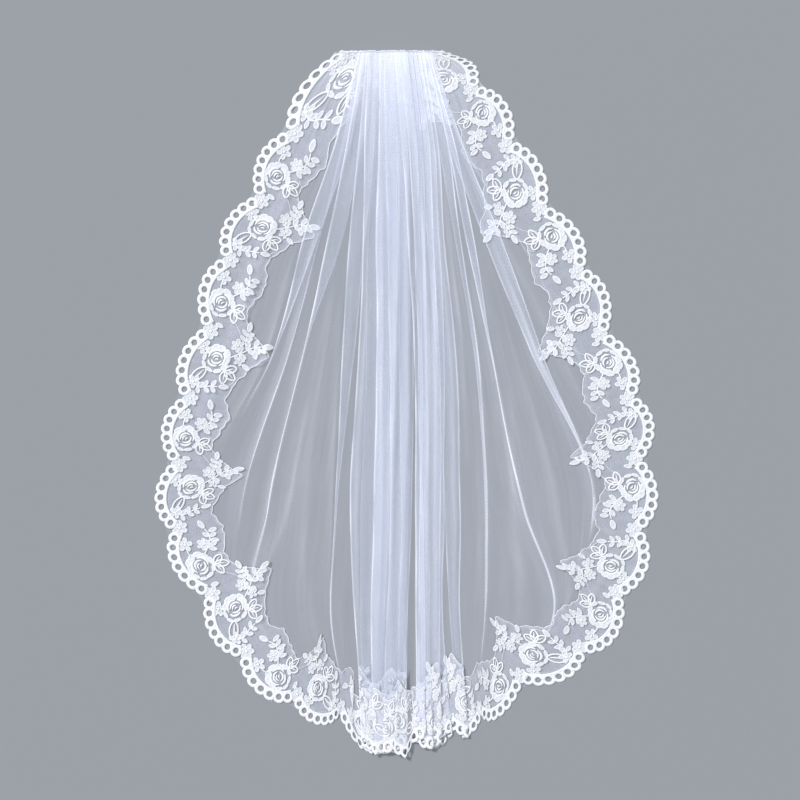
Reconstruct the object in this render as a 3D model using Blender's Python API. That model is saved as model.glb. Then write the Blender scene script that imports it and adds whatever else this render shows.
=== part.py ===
"""Bridal veil: an oval tulle panel gathered along its top edge, laid out flat, with a scalloped lace edging.

Metres, +Z up. The veil lies on the plane z = 0 with its gathered heading towards +Y and its hem towards -Y.
The tulle is one wall. It fans out as a single layer at both sides and is pleated in the middle, where it
passes over itself up to five times. The lace edging lies on the tulle, a clearance above it.
"""

import math
from collections import namedtuple

import bpy
import bmesh
from mathutils import Vector

# Cloth
WALL = 0.0012            # tulle wall
LACE_WALL = 0.0010       # lace wall
CLEARANCE = 0.0003       # between pieces that lie on each other or meet
PITCH = 0.0017           # from one tulle layer to the next
TURN = PITCH / 2         # how far a fold's round end reaches past its straight layers

# Outline
HEADING_Y = 0.447        # the gathered top edge
EDGE_HEM_Y = -0.405      # the tulle's hem where the side fans end
TULLE_MARGIN = 0.005     # the tulle reaches this far past the notches of the lace
SCALLOP_PITCH = 0.089
SCALLOP_RISE = 0.0178
SCALLOP_STEPS = 6
SHIFT = Vector((0.00095, -0.00065))   # brings the middle of the whole veil's box to the origin

# Rows of the tulle from heading (0) to hem (1), closer together at both ends
ROWS = (0.0, 0.03, 0.08, 0.14, 0.20, 0.26, 0.33, 0.40, 0.47, 0.54, 0.61,
        0.68, 0.74, 0.79, 0.84, 0.89, 0.93, 0.965, 1.0)

# Heading cord
HEADING_RADIUS = 0.0020
HEADING_TALL = 2.1       # the cord stands this many times as high as it is deep
HEADING_POINTS = 34
HEADING_LUMP = 0.13

# Notches between scallops, from the heading down to the middle folds
Notch = namedtuple("Notch", "x y")
NOTCHES = {
    "left": (
        Notch(-0.087, 0.447), Notch(-0.155, 0.347), Notch(-0.195, 0.264), Notch(-0.237, 0.185),
        Notch(-0.261, 0.096), Notch(-0.289, 0.007), Notch(-0.302, -0.077), Notch(-0.302, -0.164),
        Notch(-0.259, -0.248), Notch(-0.214, -0.326), Notch(-0.146, -0.382), Notch(-0.087, -0.400),
        Notch(-0.063, -0.427),
    ),
    "right": (
        Notch(0.047, 0.447), Notch(0.091, 0.404), Notch(0.136, 0.334), Notch(0.179, 0.251),
        Notch(0.227, 0.172), Notch(0.256, 0.089), Notch(0.292, 0.008), Notch(0.301, -0.073),
        Notch(0.301, -0.163), Notch(0.275, -0.248), Notch(0.228, -0.321), Notch(0.147, -0.359),
        Notch(0.095, -0.402), Notch(0.081, -0.421),
    ),
}
OUTWARD = {"left": -1.0, "right": 1.0}
SPLIT_NOTCH = 6          # the edging of each side is two nodes, which meet at this notch

# Creases of the middle folds, left to right: x at five stations from heading to hem, and the hem's y
Crease = namedtuple("Crease", "name heading quarter half three_quarter hem hem_y")
CREASES = (
    Crease("left_rim", -0.050, -0.057, -0.070, -0.072, -0.058, -0.428),
    Crease("left_step", -0.042, -0.046, -0.048, -0.044, -0.041, -0.438),
    Crease("left_tuck", -0.035, -0.031, -0.029, -0.031, -0.029, -0.439),
    Crease("left_slope", -0.028, -0.022, -0.019, -0.021, -0.019, -0.438),
    Crease("left_core", -0.021, -0.012, -0.008, -0.007, -0.006, -0.433),
    Crease("parting", -0.013, -0.003, 0.002, 0.003, 0.003, -0.425),
    Crease("right_core", -0.006, 0.006, 0.011, 0.012, 0.012, -0.429),
    Crease("right_slope", 0.001, 0.014, 0.020, 0.022, 0.023, -0.433),
    Crease("right_tuck", 0.008, 0.023, 0.030, 0.033, 0.034, -0.432),
    Crease("right_step", 0.014, 0.032, 0.043, 0.048, 0.058, -0.426),
    Crease("right_rim", 0.023, 0.044, 0.061, 0.066, 0.076, -0.420),
)
PLACE = {crease.name: index for index, crease in enumerate(CREASES)}

# The tulle's path through the creases, in cloth order. Order 0 lies on the surface, order 4 on top.
Layer = namedtuple("Layer", "start end order")
LAYERS = (
    Layer("left_fan", "left_tuck", 0),
    Layer("left_tuck", "left_rim", 1),
    Layer("left_rim", "left_core", 2),
    Layer("left_core", "left_step", 3),
    Layer("left_step", "right_step", 4),
    Layer("right_step", "right_core", 3),
    Layer("right_core", "right_rim", 2),
    Layer("right_rim", "right_tuck", 1),
    Layer("right_tuck", "right_fan", 0),
)

# Long soft folds in the side fans. across is 0 at the outer edge and 1 at the middle folds, at five
# stations from heading to hem. begins and ends are places on the way from heading (0) to hem (1).
FanFold = namedtuple("FanFold", "name heading quarter half three_quarter hem rise begins ends")
FAN_FOLDS = {
    "left": (
        FanFold("outer", 0.740, 0.640, 0.475, 0.300, 0.250, 0.0050, 0.05, 0.56),
        FanFold("second", 0.840, 0.795, 0.600, 0.470, 0.420, 0.0040, 0.10, 0.70),
        FanFold("inner", 0.940, 0.930, 0.925, 0.895, 0.750, 0.0034, 0.10, 0.86),
    ),
    "right": (
        FanFold("outer", 0.700, 0.655, 0.475, 0.220, 0.150, 0.0050, 0.05, 0.62),
        FanFold("second", 0.810, 0.800, 0.770, 0.580, 0.350, 0.0040, 0.10, 0.78),
        FanFold("inner", 0.920, 0.905, 0.862, 0.845, 0.700, 0.0036, 0.10, 0.86),
    ),
}
FOLD_HALF_WIDTH = 0.044  # of the fan's width

# Depth of the lace behind its notches, at equal steps along a scallop. Tall and short ones alternate.
LACE_DEPTH = {
    "tall": (0.054, 0.058, 0.066, 0.080, 0.090, 0.072),
    "short": (0.056, 0.062, 0.068, 0.066, 0.060, 0.055),
}
FIRST_SCALLOP = {"left": "tall", "right": "tall"}
DEPTH_STEP = 0.001
LACE_ROOM = 0.0022       # the lace stays this far from a fold that it doesn't cross
FOLD_END_ROOM = 0.06     # and goes round a fold's end by this share of the veil's length

# The edging where it shows on top of the middle folds: from one crease to another, on the layer of this
# order. Beside a fold that lies higher, it is trimmed back.
FOLD_TRIM = TURN + WALL
FoldLace = namedtuple("FoldLace", "name first last order trim_first trim_last scallops")
FOLD_LACES = (
    FoldLace("lace_fold_left", "left_rim", "left_step", 2, 0.0, FOLD_TRIM, 1),
    FoldLace("lace_fold_middle", "left_step", "right_step", 4, 0.0, 0.0, 2),
    FoldLace("lace_fold_right", "right_step", "right_rim", 2, FOLD_TRIM, 0.0, 1),
)
LACE_FROM_ROW = 15       # this edging starts at this row of the tulle
HEM = 2.0                # its last row, past the tulle's own
FOLD_HEM = 0.006         # which reaches this far past the tulle, and up to twice as far

TULLE_FINISH = ("tulle", (0.86, 0.88, 0.93, 1.0), 0.55)
LACE_FINISH = ("lace", (0.93, 0.93, 0.95, 1.0), 0.65)
HEADING_FINISH = ("heading", (0.92, 0.93, 0.96, 1.0), 0.60)


def clear_scene():
    """Removes every object of the open file."""
    for item in list(bpy.data.objects):
        bpy.data.objects.remove(item, do_unlink=True)


def spline(a, b, c, d, share):
    """The point at this share of the way from b to c, on a smooth curve through a, b, c and d."""
    squared = share * share
    cubed = squared * share
    return 0.5 * (2 * b + (c - a) * share + (2 * a - 5 * b + 4 * c - d) * squared
                  + (3 * b - a - 3 * c + d) * cubed)


def through(values, place):
    """A smooth curve through equally spaced values, read at a place counted in values."""
    last = len(values) - 1
    index = min(max(int(place), 0), last - 1)
    before = values[max(index - 1, 0)]
    after = values[min(index + 2, last)]
    return spline(before, values[index], values[index + 1], after, place - index)


def stations(row):
    """The five stations of a crease or a fan fold."""
    return (row.heading, row.quarter, row.half, row.three_quarter, row.hem)


def edge_point(side, place):
    """A point on the line of notches and the direction that points outwards there."""
    notches = [Vector((notch.x, notch.y)) for notch in NOTCHES[side]]
    point = through(notches, place)
    step = 0.02
    heading = through(notches, min(place + step, len(notches) - 1)) - through(notches, max(place - step, 0))
    outward = Vector((-heading.y, heading.x)) * OUTWARD[side]
    return point, outward.normalized()


def tulle_edges():
    """The tulle's outer edge on each side, as points from the heading down."""
    edges = {}
    for side, notches in NOTCHES.items():
        points = []
        for step in range((len(notches) - 1) * 12 + 1):
            point, outward = edge_point(side, step / 12)
            points.append(point + outward * TULLE_MARGIN)
        edges[side] = points
    return edges


EDGES = tulle_edges()


def edge_x(side, height):
    """Where the tulle's outer edge is at this y."""
    points = EDGES[side]
    for upper, lower in zip(points, points[1:]):
        if upper.y >= height > lower.y:
            share = (upper.y - height) / (upper.y - lower.y)
            return upper.x + (lower.x - upper.x) * share
    return points[0].x if height >= points[0].y else points[-1].x


def row_y(place, hem_y):
    """The y of a row at this place on the way from the heading to a hem at hem_y."""
    return HEADING_Y + (hem_y - HEADING_Y) * place


def crease_point(crease, place):
    """Where a crease crosses the row at this place."""
    return Vector((through(stations(crease), place * 4), row_y(place, crease.hem_y)))


def crease_x(name, height):
    """Where a crease is at this y."""
    crease = CREASES[PLACE[name]]
    place = (HEADING_Y - height) / (HEADING_Y - crease.hem_y)
    return through(stations(crease), min(max(place, 0.0), 1.0) * 4)


def covers(layer, index):
    """True if this layer passes over the crease with this index."""
    ends = sorted((PLACE.get(layer.start, -1 if layer.start == "left_fan" else len(CREASES)),
                   PLACE.get(layer.end, -1 if layer.end == "left_fan" else len(CREASES))))
    return ends[0] <= index <= ends[1]


def layer_z(layer, index):
    """The height of the middle of this layer's wall at a crease, on the layers that lie under it there."""
    under = sum(covers(other, index) and other.order < layer.order for other in LAYERS)
    return WALL / 2 + PITCH * under


def window(place, begins, ends):
    """0 outside begins to ends, and a smooth rise and fall between them."""
    if not begins < place < ends:
        return 0.0
    return math.sin(math.pi * (place - begins) / (ends - begins)) ** 0.7


def fan_columns(side, place):
    """Points across a side fan, from its outer edge to just before the middle folds, with their rise."""
    rim = crease_point(CREASES[0 if side == "left" else -1], place)
    outer_y = row_y(place, EDGE_HEM_Y)
    outer = Vector((edge_x(side, outer_y), outer_y))
    columns = [(0.0, 0.0)]
    for fold in FAN_FOLDS[side]:
        centre = through(stations(fold), place * 4)
        rise = fold.rise * window(place, fold.begins, fold.ends)
        foot = centre - FOLD_HALF_WIDTH
        columns.append(((columns[-1][0] + foot) / 2, 0.0))
        columns += [(foot, 0.0), (centre, rise), (centre + FOLD_HALF_WIDTH, 0.0)]
    return [(outer.lerp(rim, across), rise) for across, rise in columns]


Station = namedtuple("Station", "x y z normal_x normal_z")


def lay_station(point, height, direction):
    """A place on a layer that runs to the right (1) or back to the left (-1)."""
    return Station(point.x, point.y, height, 0.0, direction)


def tulle_row(place):
    """The tulle's path along one row, from its left edge to its right edge."""
    path = [lay_station(point, WALL / 2 + rise, 1.0) for point, rise in fan_columns("left", place)]
    for number, layer in enumerate(LAYERS):
        start = PLACE.get(layer.start, 0)
        end = PLACE.get(layer.end, len(CREASES) - 1)
        direction = 1 if end > start else -1
        for index in range(start, end + direction, direction):
            point = crease_point(CREASES[index], place)
            height = layer_z(layer, index)
            turns_here = (index == start and number > 0) or (index == end and number < len(LAYERS) - 1)
            if turns_here:
                back = direction if index == start else -direction
                point = point + Vector((back * TURN, 0.0))
            path.append(lay_station(point, height, direction))
        if number < len(LAYERS) - 1:
            following = LAYERS[number + 1]
            tip = crease_point(CREASES[end], place)
            middle = (layer_z(layer, end) + layer_z(following, end)) / 2
            upwards = 1.0 if following.order > layer.order else -1.0
            path.append(Station(tip.x, tip.y, middle, -upwards, 0.0))
    path += [lay_station(point, WALL / 2 + rise, 1.0) for point, rise in reversed(fan_columns("right", place))]
    return path


def wall_mesh(name, rows, wall):
    """A closed wall around rows of stations: two skins, and a rim all round."""
    mesh = bpy.data.meshes.new(name)
    shell = bmesh.new()
    skins = []
    for sign in (1, -1):
        skin = []
        for row in rows:
            offset = sign * wall / 2
            skin.append([shell.verts.new((s.x + SHIFT.x + s.normal_x * offset, s.y + SHIFT.y,
                                          s.z + s.normal_z * offset)) for s in row])
        skins.append(skin)
    upper, lower = skins
    last_row, last = len(rows) - 1, len(rows[0]) - 1
    for j in range(last_row):
        for i in range(last):
            for skin, flip in ((upper, False), (lower, True)):
                a, b, c, d = skin[j][i], skin[j + 1][i], skin[j + 1][i + 1], skin[j][i + 1]
                for corners in ((a, b, c), (a, c, d)):
                    shell.faces.new(corners[::-1] if flip else corners)
        for i in (0, last):
            corners = (upper[j][i], upper[j + 1][i], lower[j + 1][i], lower[j][i])
            shell.faces.new(corners if i else corners[::-1])
    for j in (0, last_row):
        for i in range(last):
            corners = (upper[j][i], upper[j][i + 1], lower[j][i + 1], lower[j][i])
            shell.faces.new(corners[::-1] if j else corners)
    bmesh.ops.recalc_face_normals(shell, faces=shell.faces)
    shell.to_mesh(mesh)
    shell.free()
    return mesh


def finish_material(finish):
    """The Principled material of a finish, made once."""
    name, colour, roughness = finish
    material = bpy.data.materials.get(name)
    if material is None:
        material = bpy.data.materials.new(name)
        material.use_nodes = True
        shader = material.node_tree.nodes["Principled BSDF"]
        shader.inputs["Base Color"].default_value = colour
        shader.inputs["Roughness"].default_value = roughness
        shader.inputs["Metallic"].default_value = 0.0
    return material


def add_piece(collection, name, data, finish):
    """Adds a named object with its finish."""
    piece = bpy.data.objects.new(name, data)
    piece.data.materials.append(finish_material(finish))
    collection.objects.link(piece)
    return piece


def add_tulle(collection):
    """The gathered tulle panel."""
    rows = [tulle_row(place) for place in ROWS]
    return add_piece(collection, "tulle_panel", wall_mesh("tulle_panel", rows, WALL), TULLE_FINISH)


def scallop(side, place):
    """How far the scallop here stands out of its notches. It is an arc of a circle, smaller on a short scallop."""
    number = min(int(place), len(NOTCHES[side]) - 2)
    first, second = (Vector(notch) for notch in NOTCHES[side][number:number + 2])
    half = SCALLOP_PITCH / 2
    radius = (half * half + SCALLOP_RISE * SCALLOP_RISE) / (2 * SCALLOP_RISE)
    across = (place - number - 0.5) * SCALLOP_PITCH
    rise = math.sqrt(radius * radius - across * across) - (radius - SCALLOP_RISE)
    return rise * min((second - first).length / SCALLOP_PITCH, 1.0)


def lace_limit(side, height):
    """The x that the edging may reach at this y: the outermost fan fold's foot, then the middle folds' rim."""
    rim = crease_x("left_rim" if side == "left" else "right_rim", height)
    place = (HEADING_Y - height) / (HEADING_Y - EDGE_HEM_Y)
    outer_fold = FAN_FOLDS[side][0]
    if not 0.0 <= place < outer_fold.ends + FOLD_END_ROOM:
        return rim
    across = through(stations(outer_fold), place * 4) - FOLD_HALF_WIDTH
    outer = edge_x(side, height)
    return outer + (rim - outer) * across


def lace_depth(side, place):
    """The edging's depth behind its notches at this place along it."""
    number = int(place)
    tall_first = FIRST_SCALLOP[side] == "tall"
    kind = "tall" if (number % 2 == 0) == tall_first else "short"
    step = int(round((place - number) * SCALLOP_STEPS)) % SCALLOP_STEPS
    return LACE_DEPTH[kind][step]


def inner_point(side, place, share):
    """A point behind the notches, at this share of the edging's depth, clear of the folds it doesn't cross."""
    point, outward = edge_point(side, place)
    inward = OUTWARD[side]
    depth = 0.0
    wanted = lace_depth(side, place)
    while depth + DEPTH_STEP <= wanted:
        found = point - outward * (depth + DEPTH_STEP)
        room = (found.x - lace_limit(side, found.y)) * inward
        if room < LACE_ROOM:
            break
        depth += DEPTH_STEP
    return point - outward * depth * share


def add_side_lace(collection, name, side, first, last):
    """A stretch of the edging beside the tulle's single-layer fan, between two places along the notches."""
    height = WALL + CLEARANCE + LACE_WALL / 2
    steps = int(round((last - first) * SCALLOP_STEPS))
    trim = CLEARANCE / SCALLOP_PITCH
    rows = []
    for step in range(steps + 1):
        place = first + step / SCALLOP_STEPS
        if step == 0:
            place += trim
        if step == steps:
            place -= trim
        point, outward = edge_point(side, place)
        outer = point + outward * scallop(side, place)
        middle = inner_point(side, place, 0.45)
        inner = inner_point(side, place, 1.0)
        rows.append([lay_station(spot, height, 1.0) for spot in (outer, middle, inner)])
    return add_piece(collection, name, wall_mesh(name, rows, LACE_WALL), LACE_FINISH)


def add_fold_lace(collection, stretch):
    """The edging on the part of one tulle layer that shows on top of the middle folds."""
    first, last = PLACE[stretch.first], PLACE[stretch.last]
    layer = next(layer for layer in LAYERS if layer.order == stretch.order
                 and covers(layer, first) and covers(layer, last))
    lift = WALL / 2 + CLEARANCE + LACE_WALL / 2
    rows = []
    for place in ROWS[LACE_FROM_ROW:] + (HEM,):
        row = []
        for index in range(first, last + 1):
            point = crease_point(CREASES[index], min(place, 1.0))
            if index == first:
                point.x += stretch.trim_first
            if index == last:
                point.x -= stretch.trim_last
            if place == HEM:
                wave = math.sin(math.pi * stretch.scallops * (index - first) / (last - first))
                point.y -= FOLD_HEM * (1.0 + abs(wave))
            row.append(lay_station(point, layer_z(layer, index) + lift, 1.0))
        rows.append(row)
    name = stretch.name
    return add_piece(collection, name, wall_mesh(name, rows, LACE_WALL), LACE_FINISH)


def add_heading(collection):
    """The gathering cord along the heading, thick where the tulle is pleated and lumpy all along."""
    data = bpy.data.curves.new("heading_cord", "CURVE")
    data.dimensions = "3D"
    data.bevel_depth = HEADING_RADIUS
    data.bevel_resolution = 2
    data.use_fill_caps = True
    route = data.splines.new("POLY")
    route.points.add(HEADING_POINTS - 1)
    left, right = NOTCHES["left"][0].x, NOTCHES["right"][0].x
    for number, spot in enumerate(route.points):
        share = number / (HEADING_POINTS - 1)
        swell = 0.62 + 0.38 * math.sin(math.pi * share) ** 0.5
        lump = 1.0 + HEADING_LUMP * math.sin(2.7 * number) * math.cos(0.9 * number)
        spot.co = (left + (right - left) * share, 0.0, 0.0, 1.0)
        spot.radius = min(swell * lump, 1.0)
    piece = add_piece(collection, "heading_cord", data, HEADING_FINISH)
    piece.location = (SHIFT.x, HEADING_Y + SHIFT.y + CLEARANCE + HEADING_RADIUS,
                      HEADING_RADIUS * HEADING_TALL)
    piece.scale = (1.0, 1.0, HEADING_TALL)
    return piece


def main():
    """Builds the veil."""
    clear_scene()
    collection = bpy.data.collections.new("bridal_veil")
    bpy.context.scene.collection.children.link(collection)
    add_tulle(collection)
    add_heading(collection)
    for side in ("left", "right"):
        end = len(NOTCHES[side]) - 1
        add_side_lace(collection, f"lace_side_{side}", side, 0, SPLIT_NOTCH)
        add_side_lace(collection, f"lace_hem_{side}", side, SPLIT_NOTCH, end)
    for stretch in FOLD_LACES:
        add_fold_lace(collection, stretch)


main()
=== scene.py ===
"""A bridal veil laid out flat: pleated tulle, a gathered heading and an embroidered scalloped edging.

Metres, +Z up, the heading towards +Y. The tulle is one sheet that runs through every pleat from its left
edge to its right edge. The edging is a ribbon of net with raised thread work. It follows the sheet's edge
down one side, round all the pleats of the hem and up the other side.
"""

import logging
import math
from dataclasses import dataclass, field
from enum import Enum, IntEnum
from functools import partial
from typing import Any, Iterable, Sequence

import bpy
import numpy as np
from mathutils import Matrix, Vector


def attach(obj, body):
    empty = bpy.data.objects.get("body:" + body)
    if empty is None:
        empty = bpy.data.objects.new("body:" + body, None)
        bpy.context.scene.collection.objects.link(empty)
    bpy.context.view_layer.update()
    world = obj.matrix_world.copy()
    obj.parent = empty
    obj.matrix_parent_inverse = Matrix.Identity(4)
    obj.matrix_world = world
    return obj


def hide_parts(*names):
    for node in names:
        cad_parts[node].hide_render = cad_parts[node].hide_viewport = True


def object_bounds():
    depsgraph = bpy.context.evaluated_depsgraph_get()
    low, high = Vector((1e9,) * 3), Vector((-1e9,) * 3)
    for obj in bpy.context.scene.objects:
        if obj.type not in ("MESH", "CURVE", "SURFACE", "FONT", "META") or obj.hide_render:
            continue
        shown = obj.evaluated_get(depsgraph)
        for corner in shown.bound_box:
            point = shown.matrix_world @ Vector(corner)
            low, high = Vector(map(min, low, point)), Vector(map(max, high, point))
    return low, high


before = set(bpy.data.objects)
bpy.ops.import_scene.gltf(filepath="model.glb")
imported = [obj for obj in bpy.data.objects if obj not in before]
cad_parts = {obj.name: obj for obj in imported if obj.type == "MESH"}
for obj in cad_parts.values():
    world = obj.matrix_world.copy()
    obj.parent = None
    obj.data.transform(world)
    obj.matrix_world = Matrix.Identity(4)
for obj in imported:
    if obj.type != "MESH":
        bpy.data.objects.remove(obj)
CAD_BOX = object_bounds()
LOG = logging.getLogger("veil")

Array = np.ndarray
MM = 0.001

# The middle of the whole veil's box, from the point that the tables below are measured from
SHIFT = np.array((0.00095, -0.00065))
HEADING_Y = 0.447
CORNER_Y = -0.405        # where the tulle's side edges end and its hem begins
MARGIN = 0.005           # the tulle reaches this far past the notches of the edging
CHORD = 89.0             # of a scallop, in millimetres
RISE = 17.8              # of a scallop past its notches, in millimetres
ROUND = (CHORD * CHORD / 4 + RISE * RISE) / (2 * RISE)   # radius of a scallop's arc
HEM_LEAN = 0.16          # how far in the lace leans at the hem's ends, for each unit up

WAVE_RATES = (0.55, 0.83, 1.21, 1.74)    # of the waves in a ripple
WAVE_SCALE = 2.2                         # brings their sum to about 1


def smooth_step(value: Array) -> Array:
    """A smooth rise from 0 at 0 to 1 at 1."""
    share = np.clip(value, 0.0, 1.0)
    return share * share * (3.0 - 2.0 * share)


def through(stops: Sequence[float], values: Sequence[float], at: Array) -> Array:
    """Reads a smooth curve through values at uneven stops.

    Args:
        stops: Rising places of the values.
        values: The curve's value at each stop.
        at: Places to read the curve at.

    Returns:
        The curve's values there.
    """
    stops, values = np.asarray(stops, float), np.asarray(values, float)
    slopes = np.gradient(values, stops)
    index = np.clip(np.searchsorted(stops, at, side="right") - 1, 0, len(stops) - 2)
    width = stops[index + 1] - stops[index]
    share = np.clip((at - stops[index]) / width, 0.0, 1.0)
    squared, cubed = share ** 2, share ** 3
    return ((2 * cubed - 3 * squared + 1) * values[index]
            + (cubed - 2 * squared + share) * width * slopes[index]
            + (3 * squared - 2 * cubed) * values[index + 1]
            + (cubed - squared) * width * slopes[index + 1])


def ripple(at: Array, seed: int) -> Array:
    """Uneven waves, mostly from -1 to 1, with a mean length of about one unit.

    Args:
        at: Places along the waves.
        seed: Picks one of many unlike sets of waves.

    Returns:
        The waves' heights.
    """
    draw = np.random.default_rng(seed)
    total = np.zeros_like(at, dtype=float)
    for rate in WAVE_RATES:
        total += np.sin(2 * math.pi * (rate * at + draw.random())) * draw.uniform(0.5, 1.0)
    return total / WAVE_SCALE


@dataclass(frozen=True)
class Fade:
    """A value that is higher at the heading and settles on the way to the hem."""

    settled: float
    added: float             # at the heading
    reach: float             # share of the length in which most of that goes

    def at(self, place: Array) -> Array:
        """The value at these shares of the way from heading to hem."""
        return self.settled + self.added * np.exp(-place / self.reach)


class Side(Enum):
    """A side of the veil, with the way outwards along X."""

    LEFT = -1.0
    RIGHT = 1.0


class Scallop(Enum):
    """The two figures of the edging, which take turns along it."""

    TALL = "tall"
    SHORT = "short"


class Seed(IntEnum):
    """Picks the waves of each uneven line."""

    HEADING_FOLDS = 3
    FINE_GATHERS = 5
    BROAD_GATHERS = 8
    CUT_EDGE = 11
    NET_COVER = 19
    ROLL_LUMPS = 23
    ROLL_SMALL_LUMPS = 29
    ROLL_SWAY = 31
    ROLL_SMALL_SWAY = 37
    SHINE = 40               # counted on for each turn
    PLEAT_SWAY = 90          # counted on for each turn


# ---- Finishes ----


class Value:
    """A number that varies over a surface: a node's output with arithmetic."""

    def __init__(self, graph: "Graph", socket: bpy.types.NodeSocket) -> None:
        """Wraps a socket of this graph."""
        self.graph = graph
        self.socket = socket

    def __add__(self, other: "Value | float") -> "Value":
        """The sum of two values."""
        return self.graph.math("ADD", self, other)

    __radd__ = __add__

    def __mul__(self, other: "Value | float") -> "Value":
        """The product of two values."""
        return self.graph.math("MULTIPLY", self, other)

    __rmul__ = __mul__

    def __sub__(self, other: "Value | float") -> "Value":
        """This value less another."""
        return self.graph.math("SUBTRACT", self, other)

    def __rsub__(self, other: "Value | float") -> "Value":
        """Another value less this one."""
        return self.graph.math("SUBTRACT", other, self)


class Graph:
    """A material's nodes, around one Principled shader."""

    def __init__(self, name: str) -> None:
        """Makes an empty material.

        Args:
            name: Its name.
        """
        self.material = bpy.data.materials.new(name)
        self.material.use_nodes = True
        self.tree = self.material.node_tree
        self.shader = self.tree.nodes["Principled BSDF"]

    def node(self, kind: str, settings: dict[str, Any], inputs: dict[Any, Any]) -> bpy.types.Node:
        """Adds a node.

        Args:
            kind: The node's type.
            settings: Its properties, set before its sockets.
            inputs: Values, or Value objects to link, by socket name or number.

        Returns:
            The node.
        """
        made = self.tree.nodes.new(kind)
        for name, value in settings.items():
            setattr(made, name, value)
        for key, value in inputs.items():
            self.feed(made.inputs[key], value)
        return made

    def feed(self, socket: bpy.types.NodeSocket, value: Any) -> None:
        """Links a Value or an output to a socket, or sets its own value.

        Args:
            socket: The socket.
            value: A Value or an output to link, or a plain value.
        """
        if isinstance(value, Value):
            value = value.socket
        if isinstance(value, bpy.types.NodeSocket):
            self.tree.links.new(value, socket)
        else:
            socket.default_value = value

    def math(self, operation: str, *terms: "Value | float") -> Value:
        """A Math node on these terms."""
        made = self.node("ShaderNodeMath", {"operation": operation}, dict(enumerate(terms)))
        return Value(self, made.outputs[0])

    def attribute(self, name: str) -> Value:
        """A number stored on the mesh's points."""
        made = self.node("ShaderNodeAttribute", {"attribute_name": name}, {})
        return Value(self, made.outputs["Fac"])

    def uv(self, name: str) -> bpy.types.NodeSocket:
        """The coordinates of a UV map."""
        return self.node("ShaderNodeUVMap", {"uv_map": name}, {}).outputs["UV"]

    def noise(self, vector: Any, scale: float, detail: float = 2.0) -> Value:
        """Soft noise from 0 to 1.

        Args:
            vector: The coordinates.
            scale: Lumps a metre.
            detail: How much finer it goes.

        Returns:
            The noise.
        """
        made = self.node("ShaderNodeTexNoise", {"noise_dimensions": "3D"},
                         {"Vector": vector, "Scale": scale, "Detail": detail})
        return Value(self, made.outputs["Fac"])

    def wave(self, vector: Any, direction: str, scale: float, distortion: float) -> Value:
        """Bands from 0 to 1.

        Args:
            vector: The coordinates.
            direction: X or Y.
            scale: How close the bands are.
            distortion: How far they wander.

        Returns:
            The bands.
        """
        made = self.node("ShaderNodeTexWave", {"bands_direction": direction, "wave_profile": "SIN"},
                         {"Vector": vector, "Scale": scale, "Distortion": distortion,
                          "Detail": 1.0, "Detail Scale": 1.0})
        return Value(self, made.outputs["Fac"])

    def blend(self, share: Value, first: tuple, second: tuple) -> bpy.types.NodeSocket:
        """A colour between two colours."""
        made = self.node("ShaderNodeMix", {"data_type": "RGBA"},
                         {0: share, 6: (*first, 1.0), 7: (*second, 1.0)})
        return made.outputs[2]

    def bump(self, height: Value, strength: float, distance: float) -> bpy.types.NodeSocket:
        """Small relief, as a normal."""
        made = self.node("ShaderNodeBump", {}, {"Strength": strength, "Distance": distance,
                                                "Height": height})
        return made.outputs["Normal"]

    def set(self, inputs: dict[str, Any]) -> None:
        """Feeds the shader's own sockets, by name."""
        for name, value in inputs.items():
            self.feed(self.shader.inputs[name], value)


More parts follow.
